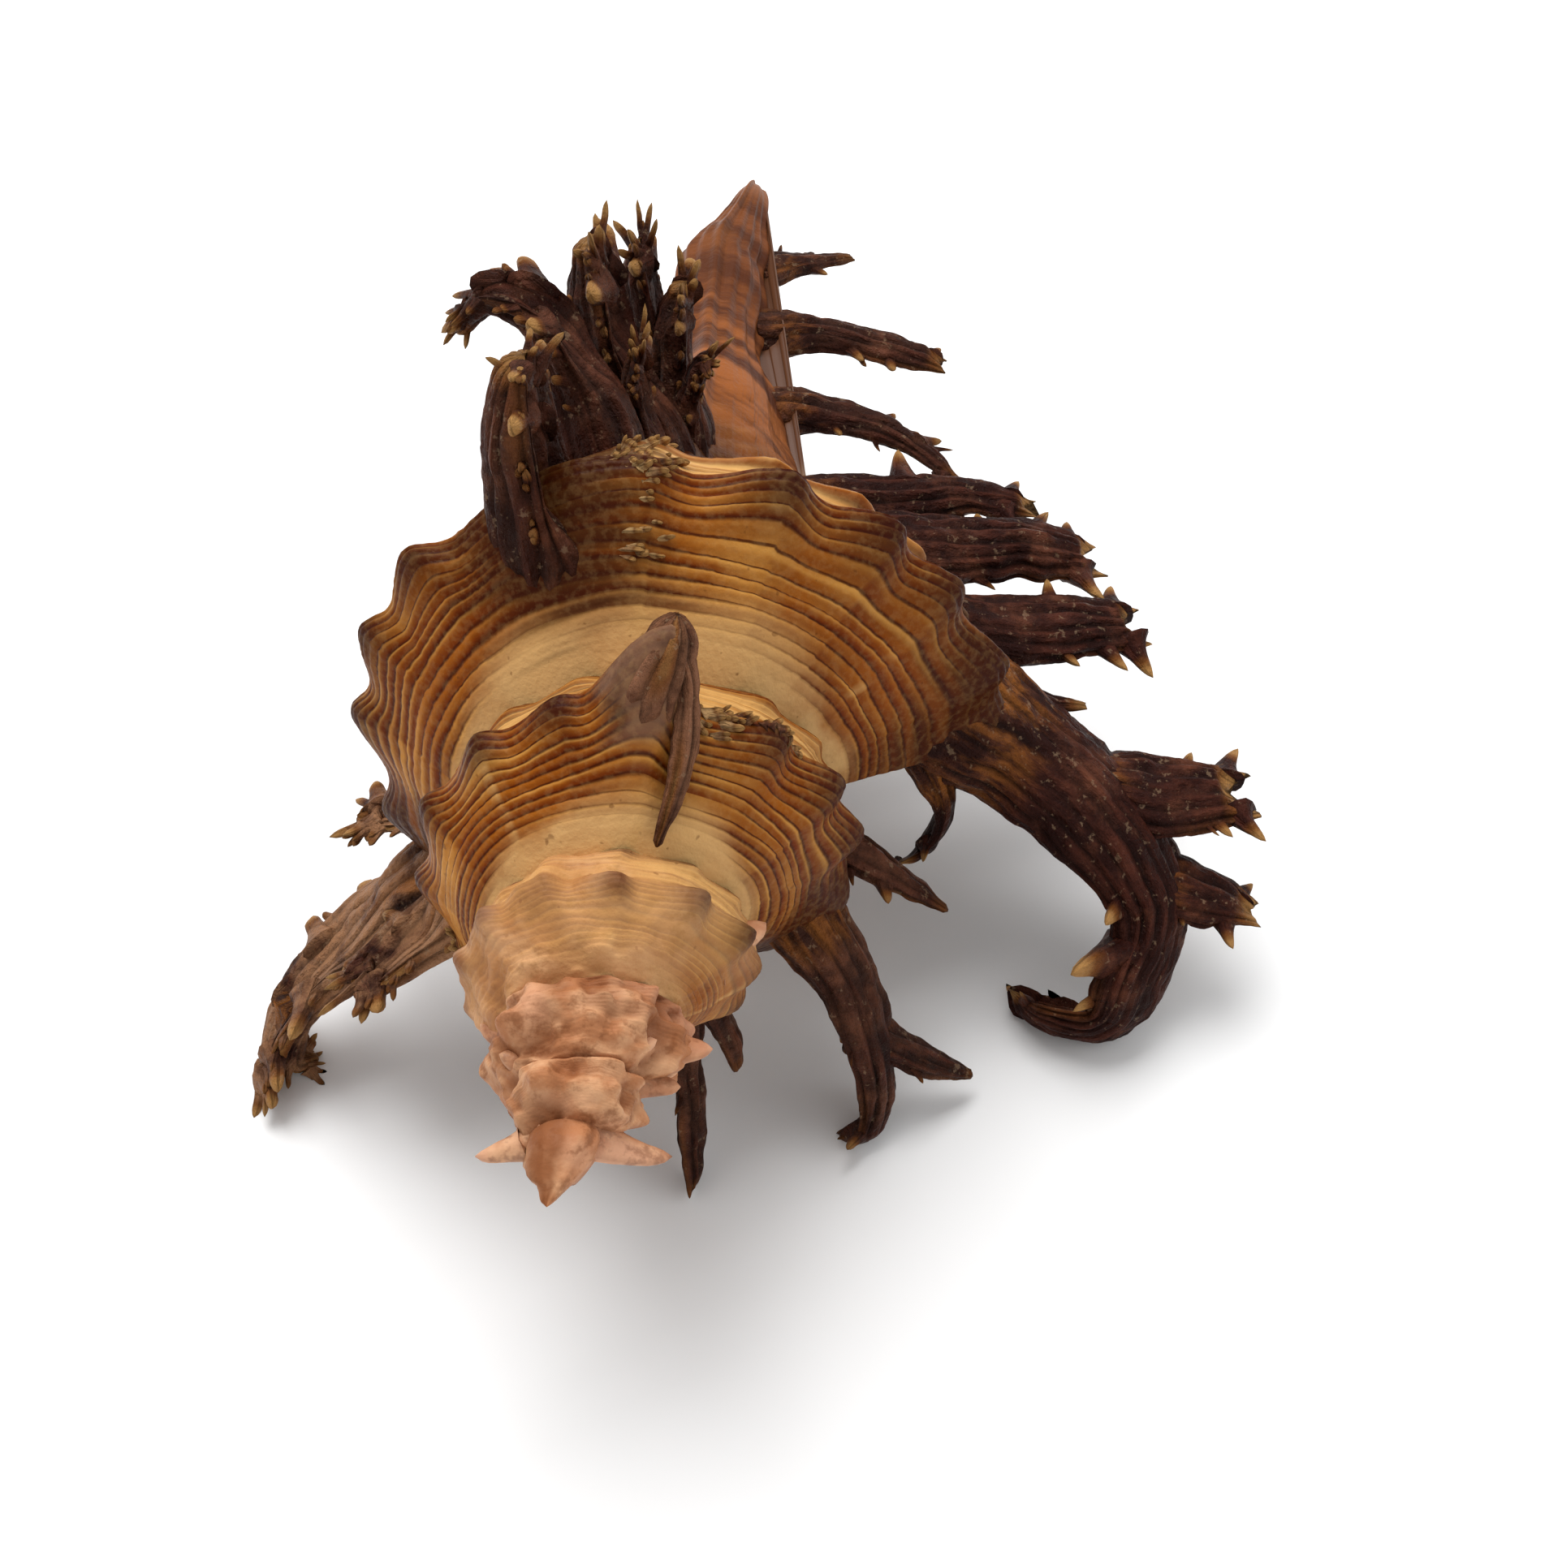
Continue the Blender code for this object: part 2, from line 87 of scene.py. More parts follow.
# The end of the last whorl is slimmer past its shoulder.
LAST_BAND_OUTLINE = [
    SUTURE, (33.2, 13.4), (35.8, 16.3), (38.2, 18.2), (40.4, 18.9), (43.0, 17.9), (45.4, 15.6)
]
LAST_BASE_OUTLINE = [
    LAST_BAND_OUTLINE[-1], (48.0, 12.7), (50.8, 9.9), (54.0, 7.8), (58.0, 6.3), (62.5, 5.5), *CANAL_OUTLINE
]
SLIMMING_TURNS = 0.35
CANAL_START = 60.0
CANAL_FULL = 72.0
CANAL_END = 94.0
CANAL_BEND = [
    (56.0, 0.0, 0.0), (68.0, -0.3, 0.0), (76.0, -0.8, 0.0), (83.0, -1.1, 0.4), (89.0, -0.1, 1.0),
    (CANAL_END, 0.6, 1.6),
]
SLIT_ANGLE = -75.0
SLIT_HALF_ANGLE = 14.0
SLIT_DEPTH = 0.45
CANAL_DIMPLE = 0.6

# Axial ribs, in turns back from the lip: varices, and the smaller nodes between them.
VARICES = [0.0, 0.275, 0.66, 0.94, 1.24, 1.61, 2.0, 2.32, 2.65, 2.98, 3.3, 3.62, 3.95, 4.3, 4.65]
NODES = [
    0.05, 0.1, 0.15, 0.205, 0.4, 0.455, 0.51, 0.58, 0.74, 0.8, 0.87, 1.03, 1.09, 1.155, 1.31, 1.375, 1.45,
    1.53, 1.69, 1.77, 1.85, 1.93, 2.07, 2.15, 2.24, 2.4, 2.48, 2.57, 2.73, 2.81, 2.9, 3.06, 3.14, 3.22,
    3.38, 3.46, 3.54, 3.7, 3.78, 3.87, 4.05, 4.15, 4.4, 4.5,
]
SPIRE_TURNS = 4.5

# A rib is a bell along the turn: its reach towards the lip and away from it, in turns.
NODE_REACH = (0.014, 0.027)
VARIX_REACH = (0.016, 0.036)
SPINE_REACH = (0.018, 0.036)

# Heights of the wall's relief, in mm on the last whorl.
NODE_HEIGHT = 1.9
SECOND_NODE_HEIGHT = 1.0
LEDGE_HEIGHT = 0.3
SCOOP_DEPTH = 0.6
VARIX_HEIGHT = 1.2
VARIX_FOOT_HEIGHT = 0.15
GROWTH_LINE_HEIGHT = 0.04
UNEVENNESS = 0.14
STOP_HEIGHT = 0.06
FURROW_HEIGHT = 0.1

# Where that relief begins and ends across the band, in shares of it.
SHOULDER_RISE = (0.3, 0.56)
LEDGE_FALL = (0.59, 0.67)
SCOOP_FALL = (0.61, 0.69)
SCOOP_RISE = (0.8, 0.92)
SECOND_RISE = (0.8, 0.9)
SECOND_FALL = (1.02, 1.25)
SUTURE_EDGE = (0.0, 0.05)
NEXT_SUTURE_EDGE = (0.95, 1.0)

# The mouth: an oval, as (along the axis, radius), carried back along the coil, and the rings of its lip.
HOLLOW_CENTRE = (40.2, 11.3)
HOLLOW_HALF = (6.4, 5.2)
HOLLOW_TURNS = 0.42
LIP_RINGS = 7

# Where the whorls carry old crust, in turns back from the lip.
CRUST_TURNS = (2.1, 2.9)
CRUST_HEIGHT = 0.85

# Where the tall spine stands on the whorl before the last.
SPINE_TURNS = 1.248
SPINE_SWELL = 8.5

# Fronds: a path of (angle round the axis, radius, distance along the axis), the widths along it, and
# side spikes as (share of the length, side, length). Every number but the angle and share is in mm.
LIP_FRONDS = {
    "shoulder": (
        [(-10, 16.5, 41.5), (-17, 22.5, 41.0), (-21, 29.0, 39.0), (-25, 34.5, 35.5), (-30, 35.5, 31.5),
         (-35, 35.8, 30.2), (-40, 33.0, 31.0), (-41, 31.0, 31.6)],
        [11.5, 10.4, 9.8, 8.4, 6.4, 5.8, 4.4, 1.0],
        [(0.35, 1, 3.0), (0.42, -1, 2.2), (0.55, -1, 4.0), (0.62, -1, 1.6), (0.72, 1, 2.6), (0.8, 1, 2.4),
         (0.86, 1, 1.6), (0.9, 1, 2.2)],
    ),
    "shoulder_fork": (
        [(-20, 27.0, 39.5), (-18, 33.5, 40.5), (-16, 38.8, 41.3)],
        [7.0, 6.0, 4.8],
        [(0.95, 1, 2.0), (0.97, -1, 2.0), (0.7, 1, 1.4), (0.8, -1, 1.3)],
    ),
    "shoulder_tine": (
        [(-24, 33.0, 36.5), (-23, 38.0, 36.0), (-22, 41.8, 35.6)],
        [5.8, 4.4, 2.4],
        [(0.7, -1, 1.6), (0.85, 1, 1.2)],
    ),
    "shoulder_thorn": ([(-17, 21.0, 42.6), (-15, 25.0, 44.2), (-14, 27.8, 44.6)], [3.0, 2.0, 0.7], []),
    "under": (
        [(-13, 16.8, 38.0), (-26, 20.0, 37.2), (-36, 21.0, 36.5), (-38, 19.6, 34.6)],
        [4.4, 2.6, 1.8, 0.6],
        [(0.6, -1, 1.0)],
    ),
    "second": (
        [(-9, 13.6, 46.2), (-12, 21.0, 48.5), (-12, 27.0, 51.0), (-12, 31.0, 52.3)],
        [7.0, 5.6, 5.0, 3.8],
        [(0.6, 1, 1.8), (0.75, -1, 2.0), (0.92, 1, 2.2), (0.95, -1, 2.4), (0.55, -1, 1.5)],
    ),
    "third": (
        [(-9, 7.6, 51.8), (-11, 17.0, 55.0), (-11, 23.0, 57.2), (-12, 28.2, 58.4)],
        [7.0, 5.8, 5.6, 4.0],
        [(0.55, 1, 1.8), (0.75, 1, 2.0), (0.92, 1, 1.8), (0.9, -1, 2.4)],
    ),
    "fourth": (
        [(-12, 5.4, 56.2), (-12, 14.0, 60.0), (-12, 19.0, 62.2), (-13, 24.0, 63.2)],
        [5.4, 4.2, 3.6, 2.4],
        [(0.4, 1, 3.0), (0.9, 1, 1.6), (0.85, -1, 1.8)],
    ),
}
CANAL_FRONDS = {
    "first": (
        [(-25, 2.5, 66.5), (-16, 8.0, 68.8), (-15, 14.0, 68.3), (-15, 19.0, 65.0)],
        [5.0, 3.4, 2.6, 0.9],
        [(0.6, 1, 1.4), (0.75, 1, 1.4), (0.4, -1, 1.0)],
    ),
    "second": (
        [(-25, 2.0, 76.5), (-16, 7.0, 78.5), (-14, 12.5, 78.8), (-14, 17.0, 78.6)],
        [4.6, 3.4, 3.2, 2.4],
        [(0.5, -1, 1.2), (0.7, -1, 1.3), (0.93, 1, 1.3)],
    ),
    "third": ([(-20, 1.5, 84.5), (-14, 5.0, 87.4), (-14, 9.0, 90.4)], [3.4, 2.2, 1.0], [(0.6, -1, 0.9)]),
    "left": ([(225, 2.0, 70.0), (222, 7.0, 71.0), (220, 11.0, 71.5)], [3.0, 2.4, 1.2], [(0.6, -1, 1.2)]),
}
BACK_FRONDS = {
    "shoulder": (
        [(109, 11.0, 33.5), (106, 16.0, 34.2), (103.5, 21.0, 34.8), (101.5, 25.0, 35.2)],
        [7.4, 6.6, 5.4, 2.4],
        [(0.6, 1, 1.8), (0.75, -1, 1.6), (0.85, 1, 1.4), (0.95, -1, 1.0)],
    ),
    "second": (
        [(107, 8.5, 43.0), (106, 16.0, 45.5), (107, 20.5, 46.0), (114, 22.8, 46.2), (123, 21.6, 46.4)],
        [5.6, 4.8, 4.0, 2.8, 1.6],
        [(0.6, 1, 2.4), (0.78, 1, 1.8), (0.5, -1, 1.4), (0.9, -1, 1.0)],
    ),
    "third": (
        [(104, 4.6, 48.8), (103.5, 14.0, 51.0), (102, 18.5, 51.6), (102, 21.6, 51.9)],
        [5.8, 5.0, 5.0, 2.6],
        [(0.7, 1, 2.2), (0.72, -1, 2.2), (0.9, 1, 1.2)],
    ),
    "fourth": (
        [(101, 3.4, 54.5), (99, 14.0, 57.5), (99, 17.8, 58.0)],
        [4.4, 3.6, 1.6],
        [(0.8, -1, 1.6), (0.7, 1, 1.2)],
    ),
    "fifth": (
        [(93, 3.8, 52.4), (90, 12.5, 55.8), (89, 15.8, 56.2)],
        [4.6, 3.6, 2.0],
        [(0.8, 1, 2.0), (0.6, -1, 1.4)],
    ),
    "sixth": ([(97, 5.8, 46.3), (96, 14.0, 48.0), (95, 16.4, 48.2)], [3.4, 2.8, 1.3], [(0.7, 1, 1.2)]),
    "seventh": ([(88, 4.4, 50.4), (83, 11.5, 52.6), (80, 13.4, 52.2)], [2.6, 1.8, 0.8], []),
}
LEFT_FRONDS = {
    "shoulder": (
        [(222, 12.0, 29.5), (219, 18.5, 27.8), (217, 24.0, 26.4), (219, 29.0, 24.4), (222, 32.2, 22.2),
         (223.7, 33.0, 21.2)],
        [8.6, 7.4, 6.2, 5.2, 4.2, 2.2],
        [(0.3, 1, 2.4), (0.45, 1, 2.0), (0.5, -1, 2.2), (0.6, 1, 1.6), (0.72, -1, 2.0), (0.85, -1, 1.8),
         (0.88, 1, 1.4)],
    ),
    "hook": ([(219, 28.0, 24.5), (224, 31.2, 23.0), (227.0, 31.0, 23.8)], [3.0, 2.0, 0.9], []),
    "lobe": (
        [(213, 8.8, 25.4), (212, 15.0, 22.6), (212, 18.6, 20.2)],
        [6.0, 4.8, 3.4],
        [(0.85, -1, 1.6), (0.9, 1, 1.2), (0.5, 1, 1.2)],
    ),
    "second": (
        [(222, 8.8, 35.0), (217, 19.0, 36.3), (213, 24.0, 36.4)],
        [5.0, 3.8, 2.2],
        [(0.85, 1, 1.6), (0.6, 1, 1.4)],
    ),
    "third": (
        [(226, 4.0, 42.0), (226, 18.0, 45.5), (228, 25.0, 46.5)],
        [5.0, 4.0, 1.8],
        [(0.6, 1, 1.6), (0.7, -1, 1.6)],
    ),
    "fourth": (
        [(230, 2.6, 49.0), (231, 17.0, 54.0), (233, 25.5, 55.5)],
        [4.6, 3.8, 1.8],
        [(0.6, -1, 1.6), (0.75, 1, 1.6)],
    ),
    "fifth": (
        [(232, 2.5, 57.0), (236, 15.0, 61.5), (238, 23.0, 62.6), (239.6, 26.6, 62.8)],
        [4.4, 3.6, 3.0, 2.0],
        [(0.6, 1, 1.6), (0.8, -1, 1.6)],
    ),
}
OLD_FRONDS = {
    "right_shoulder": (
        [(-34, 10.0, 27.5), (-43, 17.0, 25.2), (-50, 22.5, 23.0), (-56, 26.0, 21.6), (-60, 25.8, 20.8)],
        [6.6, 5.2, 4.2, 3.4, 1.6],
        [(0.7, 1, 1.4), (0.85, -1, 1.4)],
    ),
    "right_fork": ([(-48, 20.0, 23.8), (-46, 25.5, 24.2), (-45, 29.8, 25.2)], [3.2, 2.2, 0.8], []),
    "right_second": (
        [(-26, 10.5, 31.0), (-29, 16.0, 30.6), (-30, 21.6, 30.0)],
        [3.6, 2.6, 0.8],
        [(0.6, -1, 1.2)],
    ),
    "front_leg": (
        [(-72, 9.0, 25.0), (-77, 15.0, 21.0), (-79, 19.5, 18.4), (-79.6, 23.0, 16.4)],
        [4.2, 3.2, 2.8, 2.2],
        [(0.75, 1, 1.2)],
    ),
    "front_stub": ([(-56, 6.2, 21.4), (-60, 12.0, 19.6), (-61, 14.4, 18.4)], [2.8, 2.0, 1.2], []),
}
SPIRE_FRONDS = {
    "spine": (
        [(78.5, 10.0, 23.6), (78.5, 12.0, 23.8), (78, 13.6, 24.1), (77, 15.2, 24.5), (77, 16.9, 24.9)],
        [4.2, 4.2, 3.9, 3.3, 2.6],
        [],
    ),
    "rim": (
        [(75.5, 15.2, 24.4), (72, 13.7, 23.7), (69, 12.2, 22.5), (66.5, 10.6, 21.0), (65, 8.8, 19.5),
         (64, 7.2, 18.4)],
        [1.4, 1.7, 1.7, 1.5, 1.1, 0.6],
        [],
    ),
}
# Stubs: the root and the tip of each, and its width in mm at the root.
STUBS = {
    "spire_right": ((-2, 6.0, 17.4), (-1, 8.6, 18.2), 3.4),
    "small_right": ((-6, 4.0, 11.0), (-4, 6.7, 10.4), 2.6),
    "small_low": ((-18, 3.0, 9.4), (-14, 5.4, 8.4), 2.2),
    "small_left": ((186, 2.8, 10.8), (186, 5.4, 11.0), 2.6),
    "tip_left": ((190, 0.8, 5.2), (192, 4.2, 3.4), 2.2),
    "tip_right": ((-14, 1.0, 5.6), (-24, 5.7, 3.8), 2.4),
    "upper_left": ((150, 1.8, 8.4), (148, 4.0, 7.8), 2.2),
    "upper_right": ((30, 2.0, 9.4), (26, 4.6, 8.8), 2.4),
}


# Where small scales stand: (turns, turns, share, share, number of scales).
GROWTH_EDGES = [
    (0.262, 0.282, 0.3, 0.6, 24), (0.262, 0.295, 0.6, 1.08, 40), (1.12, 1.2, 0.58, 0.66, 30),
    (1.19, 1.23, 0.5, 0.66, 16), (0.63, 0.655, 0.3, 0.9, 40), (1.6, 1.625, 0.3, 0.9, 40),
]

# How each row of fronds has grown and worn: the whorl it stands on, counted from the last, its depth
# against its width, how hollow its front is, the horns and prongs at its end, its edge knobs per mm and
# how blunt they are, how rusty its foot and how tan its tips are, and how pale the whole frond is.
LIP_STYLE = {
    "whorl": 0, "depth": 0.5, "gutter": 1.0, "horns": 0.8, "prongs": 0, "frill": 0.12, "blunt": 0.25,
    "rust": 1.0, "tan": 0.8, "tint": 0.0,
}
CANAL_STYLE = {
    "whorl": 0, "depth": 0.6, "gutter": 1.0, "horns": 0.5, "prongs": 0, "frill": 0.25, "blunt": 0.4,
    "rust": 0.6, "tan": 0.6, "tint": 0.1,
}
BACK_STYLE = {
    "whorl": 0, "depth": 0.85, "gutter": 1.0, "horns": 0.0, "prongs": 6, "frill": 1.4, "blunt": 0.75,
    "rust": 0.25, "tan": 0.7, "tint": 0.1,
}
LEFT_STYLE = {**BACK_STYLE, "depth": 0.6, "prongs": 4, "rust": 1.0, "tint": 1.25}
OLD_STYLE = {
    "whorl": 1, "depth": 0.6, "gutter": 1.0, "horns": 0.4, "prongs": 0, "frill": 0.15, "blunt": 0.4,
    "rust": 0.8, "tan": 0.5, "tint": 0.15,
}
SPINE_STYLE = {
    "whorl": 1, "depth": 0.7, "gutter": 0.0, "horns": 0.0, "prongs": 0, "frill": 0.0, "blunt": 1.0,
    "rust": 0.3, "tan": 0.3, "tint": 0.9,
}
STUB_STYLE = {"blunt": 0.35, "tan": 0.0, "tint": 1.0}
SCALE_STYLE = {"blunt": 0.8, "tan": 1.0, "tint": 2.0}

# A frond's cords, and the lengths in mm over which its end takes shape and turns tan.
CORDS_PER_MM = 2.6
LEAST_CORDS = 7
POINTS_PER_CORD = 6
MOST_POINTS = 108
END_LENGTH = 2.4
TAN_LENGTH = 3.4
FROND_UNEVENNESS = 0.16


# Shapes

LATTICE = np.random.default_rng(11).uniform(-1, 1, (32, 32, 32))


def noise(points, size):
    """Smooth random values from -1 to 1 with bumps about size mm apart.

    They are a cubic blend of a fixed random lattice."""
    scaled = np.asarray(points) / size
    cell = np.floor(scaled).astype(int)
    part = scaled - cell
    part = part * part * (3 - 2 * part)
    total = 0.0
    for corner in np.ndindex(2, 2, 2):
        share = np.prod(np.where(np.array(corner) == 1, part, 1 - part), axis=-1)
        at = (cell + corner) % len(LATTICE)
        total = total + share * LATTICE[at[..., 0], at[..., 1], at[..., 2]]
    return total


def rough(points, size, octaves=3):
    """Noise with finer noise on top, each octave half as large and half as strong."""
    return sum(noise(points + 17.3 * k, size / 2**k) / 2**k for k in range(octaves))


def smooth(value, low, high):
    """From 0 at low to 1 at high along a smooth S."""
    share = np.clip((value - low) / (high - low), 0, 1)
    return share * share * (3 - 2 * share)


def spline(points, at):
    """Points of a Catmull-Rom curve through the given ones, at shares from 0 to 1 of their number."""
    points = np.asarray(points, float)
    padded = np.vstack([2 * points[0] - points[1], points, 2 * points[-1] - points[-2]])
    where = np.clip(at, 0, 1) * (len(points) - 1)
    i = np.minimum(where.astype(int), len(points) - 2)
    f = (where - i)[..., None]
    a, b, c, d = padded[i], padded[i + 1], padded[i + 2], padded[i + 3]
    return 0.5 * (2 * b + (c - a) * f + (2 * a - 5 * b + 4 * c - d) * f**2 + (3 * b - a - 3 * c + d) * f**3)


def about_axis(angle_deg, radius, along):
    """Cylindrical coordinates about the coiling axis as x, y, z."""
    angle = np.radians(angle_deg)
    return np.stack(np.broadcast_arrays(radius * np.cos(angle), along, radius * np.sin(angle)), -1)


def outline(turns, share):
    """Distance along the axis and radius of the plain whorl.

    The share goes from 0 to 1 over the band between the sutures, and from 1 to 2 over the base. Both are
    splines, scaled down by an exponential of the turns, and the canal keeps its place."""
    slim = smooth((1 - turns) / SLIMMING_TURNS, 0, 1)[..., None]
    band = spline(BAND_OUTLINE, share) * (1 - slim) + spline(LAST_BAND_OUTLINE, share) * slim
    base = spline(BASE_OUTLINE, share - 1) * (1 - slim) + spline(LAST_BASE_OUTLINE, share - 1) * slim
    scale = EXPANSION ** -turns[..., None]
    free = smooth(base[..., :1], CANAL_START, CANAL_FULL)
    grown = scale + (1 - scale) * free
    return np.where(share[..., None] <= 1, band * scale, base * grown)


def plain_radius(turns, along):
    """Radius of the plain whorl where it passes a distance along the axis, at one place in turns."""
    shares = np.linspace(0, 2, 60)
    rows = outline(np.full(60, turns), shares)
    return np.interp(along, rows[:, 0], rows[:, 1])


def frond_foot(path, whorl):
    """The point at which a frond's path comes out of the whorl with that number, counted from the last."""
    path = np.array(path, float)
    fine = spline(path, np.linspace(0, 1, 60))
    for angle, radius, along in fine:
        turns = max((angle - LIP_ANGLE) / 360 + whorl, 0.0)
        if radius > plain_radius(turns, along):
            return about_axis(angle, radius, along)
    return about_axis(*path[-1])


def grid_faces(rows, columns, closed_across=False):
    """Quads of a grid of rows by columns points, joined round where closed_across is set."""
    last = columns if closed_across else columns - 1
    i, j = np.meshgrid(np.arange(rows - 1), np.arange(last), indexing="ij")
    a = i * columns + j
    b = i * columns + (j + 1) % columns
    return np.stack([a, b, b + columns, a + columns], -1).reshape(-1, 4).tolist()


def end_caps(rows, columns):
    """The two flat faces that close a tube of rows rings with columns points each."""
    return [list(range(columns))[::-1], list(range((rows - 1) * columns, rows * columns))]


def hold_inside(points):
    """Draws in what comes near the sides or the top of the CAD model's box, and sets the rest on the floor.

    The last part of the way out is shortened by an exponential, so nothing passes the box."""
    low, high = (np.array(corner) for corner in CAD_BOX)
    over = np.maximum(points - (high - BOX_MARGIN), 0)
    under = np.maximum((low + BOX_MARGIN) - points, 0) * [1, 1, 0]
    held = points - over + BOX_MARGIN * (1 - np.exp(-over / BOX_MARGIN))
    held = held + under - BOX_MARGIN * (1 - np.exp(-under / BOX_MARGIN))
    held[:, 2] = np.maximum(held[:, 2], 0)
    return held


def make_piece(name, parts, material):
    """One mesh object from parts, each (points in mm, faces, {attribute: value per point}).

    It stands for the shell's solid, moves with the root body and keeps its origin at the frame's."""
    points, quads, values, start = [], [], {}, 0
    for part_points, part_faces, part_values in parts:
        points.append(part_points.reshape(-1, 3))
        quads += [[index + start for index in face] for face in part_faces]
        for key, value in part_values.items():
            values.setdefault(key, []).append(np.asarray(value, float).reshape(-1))
        start += len(points[-1])
    points = hold_inside((np.vstack(points) + [AXIS_X, APEX_Y, AXIS_HEIGHT]) * MM)
    mesh = bpy.data.meshes.new(name)
    mesh.from_pydata(points.tolist(), [], quads)
    for key, value in values.items():
        layer = mesh.attributes.new(key, "FLOAT", "POINT")
        layer.data.foreach_set("value", np.concatenate(value).astype(np.float32))
    mesh.shade_smooth()
    mesh.materials.append(material)
    obj = bpy.data.objects.new(name, mesh)
    bpy.context.scene.collection.objects.link(obj)
    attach(obj, "root")
    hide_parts("murex_shell")


# The whorls

# The foot of each frond on the wall, and its width there.
FEET = [
    (frond_foot(path, whorl), widths[0])
    for fronds, whorl in (
        (LIP_FRONDS, 0), (CANAL_FRONDS, 0), (BACK_FRONDS, 0), (LEFT_FRONDS, 0), (OLD_FRONDS, 1)
    )
    for path, widths, _ in fronds.values()
]


def canal_shift(along):
    """Sideways bend of the canal's middle, as x and z."""
    bend = np.array(CANAL_BEND)
    return np.interp(along, bend[:, 0], bend[:, 1]), np.interp(along, bend[:, 0], bend[:, 2])


def ribs(turns, places, reach):
    """The sum of bells about the places in turns, each with its reach towards the lip and away from it."""
    total = np.zeros_like(turns)
    for at in places:
        away = turns - at
        total = total + np.exp(-((away / np.where(away < 0, *reach)) ** 2))
    return np.minimum(total, 1.15)


def growth_stops(turns):
    """The number of the stretch between ribs that each point lies in, and the share of it, 0 after a rib."""
    stops = np.array(sorted(NODES + VARICES))
    stretch = np.clip(np.searchsorted(stops, turns, side="right"), 1, len(stops) - 1)
    since = (stops[stretch] - turns) / (stops[stretch] - stops[stretch - 1])
    return stretch, np.clip(since, 0, 1)


def spiral_cords(turns, share, cords, stretch):
    """Place across the cords, counted in cords, and the cords' height from -1 to 1.

    Each cord is the root of a sine, highest just past its groove. The grooves wander, and step a little at
    every growth stop."""
    step = 0.08 * noise(np.stack([stretch * 3.7, share * 7, 0 * share], -1), 1.0)
    wander = 0.7 * noise(np.stack([turns * 5, share * 9, 0 * share], -1), 1.0)
    line = share * cords + step + wander
    phase = line - np.floor(line)
    return line, np.abs(np.sin(np.pi * phase)) ** 0.4 - 0.75 + 0.25 * (1 - phase)


def foot_swelling(place):
    """How far the wall swells round the fronds' feet, in mm, and how stained it is there, from 0 to 1.

    Both are sums or maxima of round bells about the feet, as wide as the fronds."""
    swelling, painted_foot_shade = np.zeros(place.shape[:2]), np.zeros(place.shape[:2])
    for foot, width in FEET:
        distance = np.linalg.norm(place - foot, axis=-1) / width
        swelling = swelling + 0.16 * width * np.exp(-((distance / 0.6) ** 2))
        painted_foot_shade = np.maximum(painted_foot_shade, np.exp(-((distance / 0.95) ** 2)))
    return swelling, painted_foot_shade


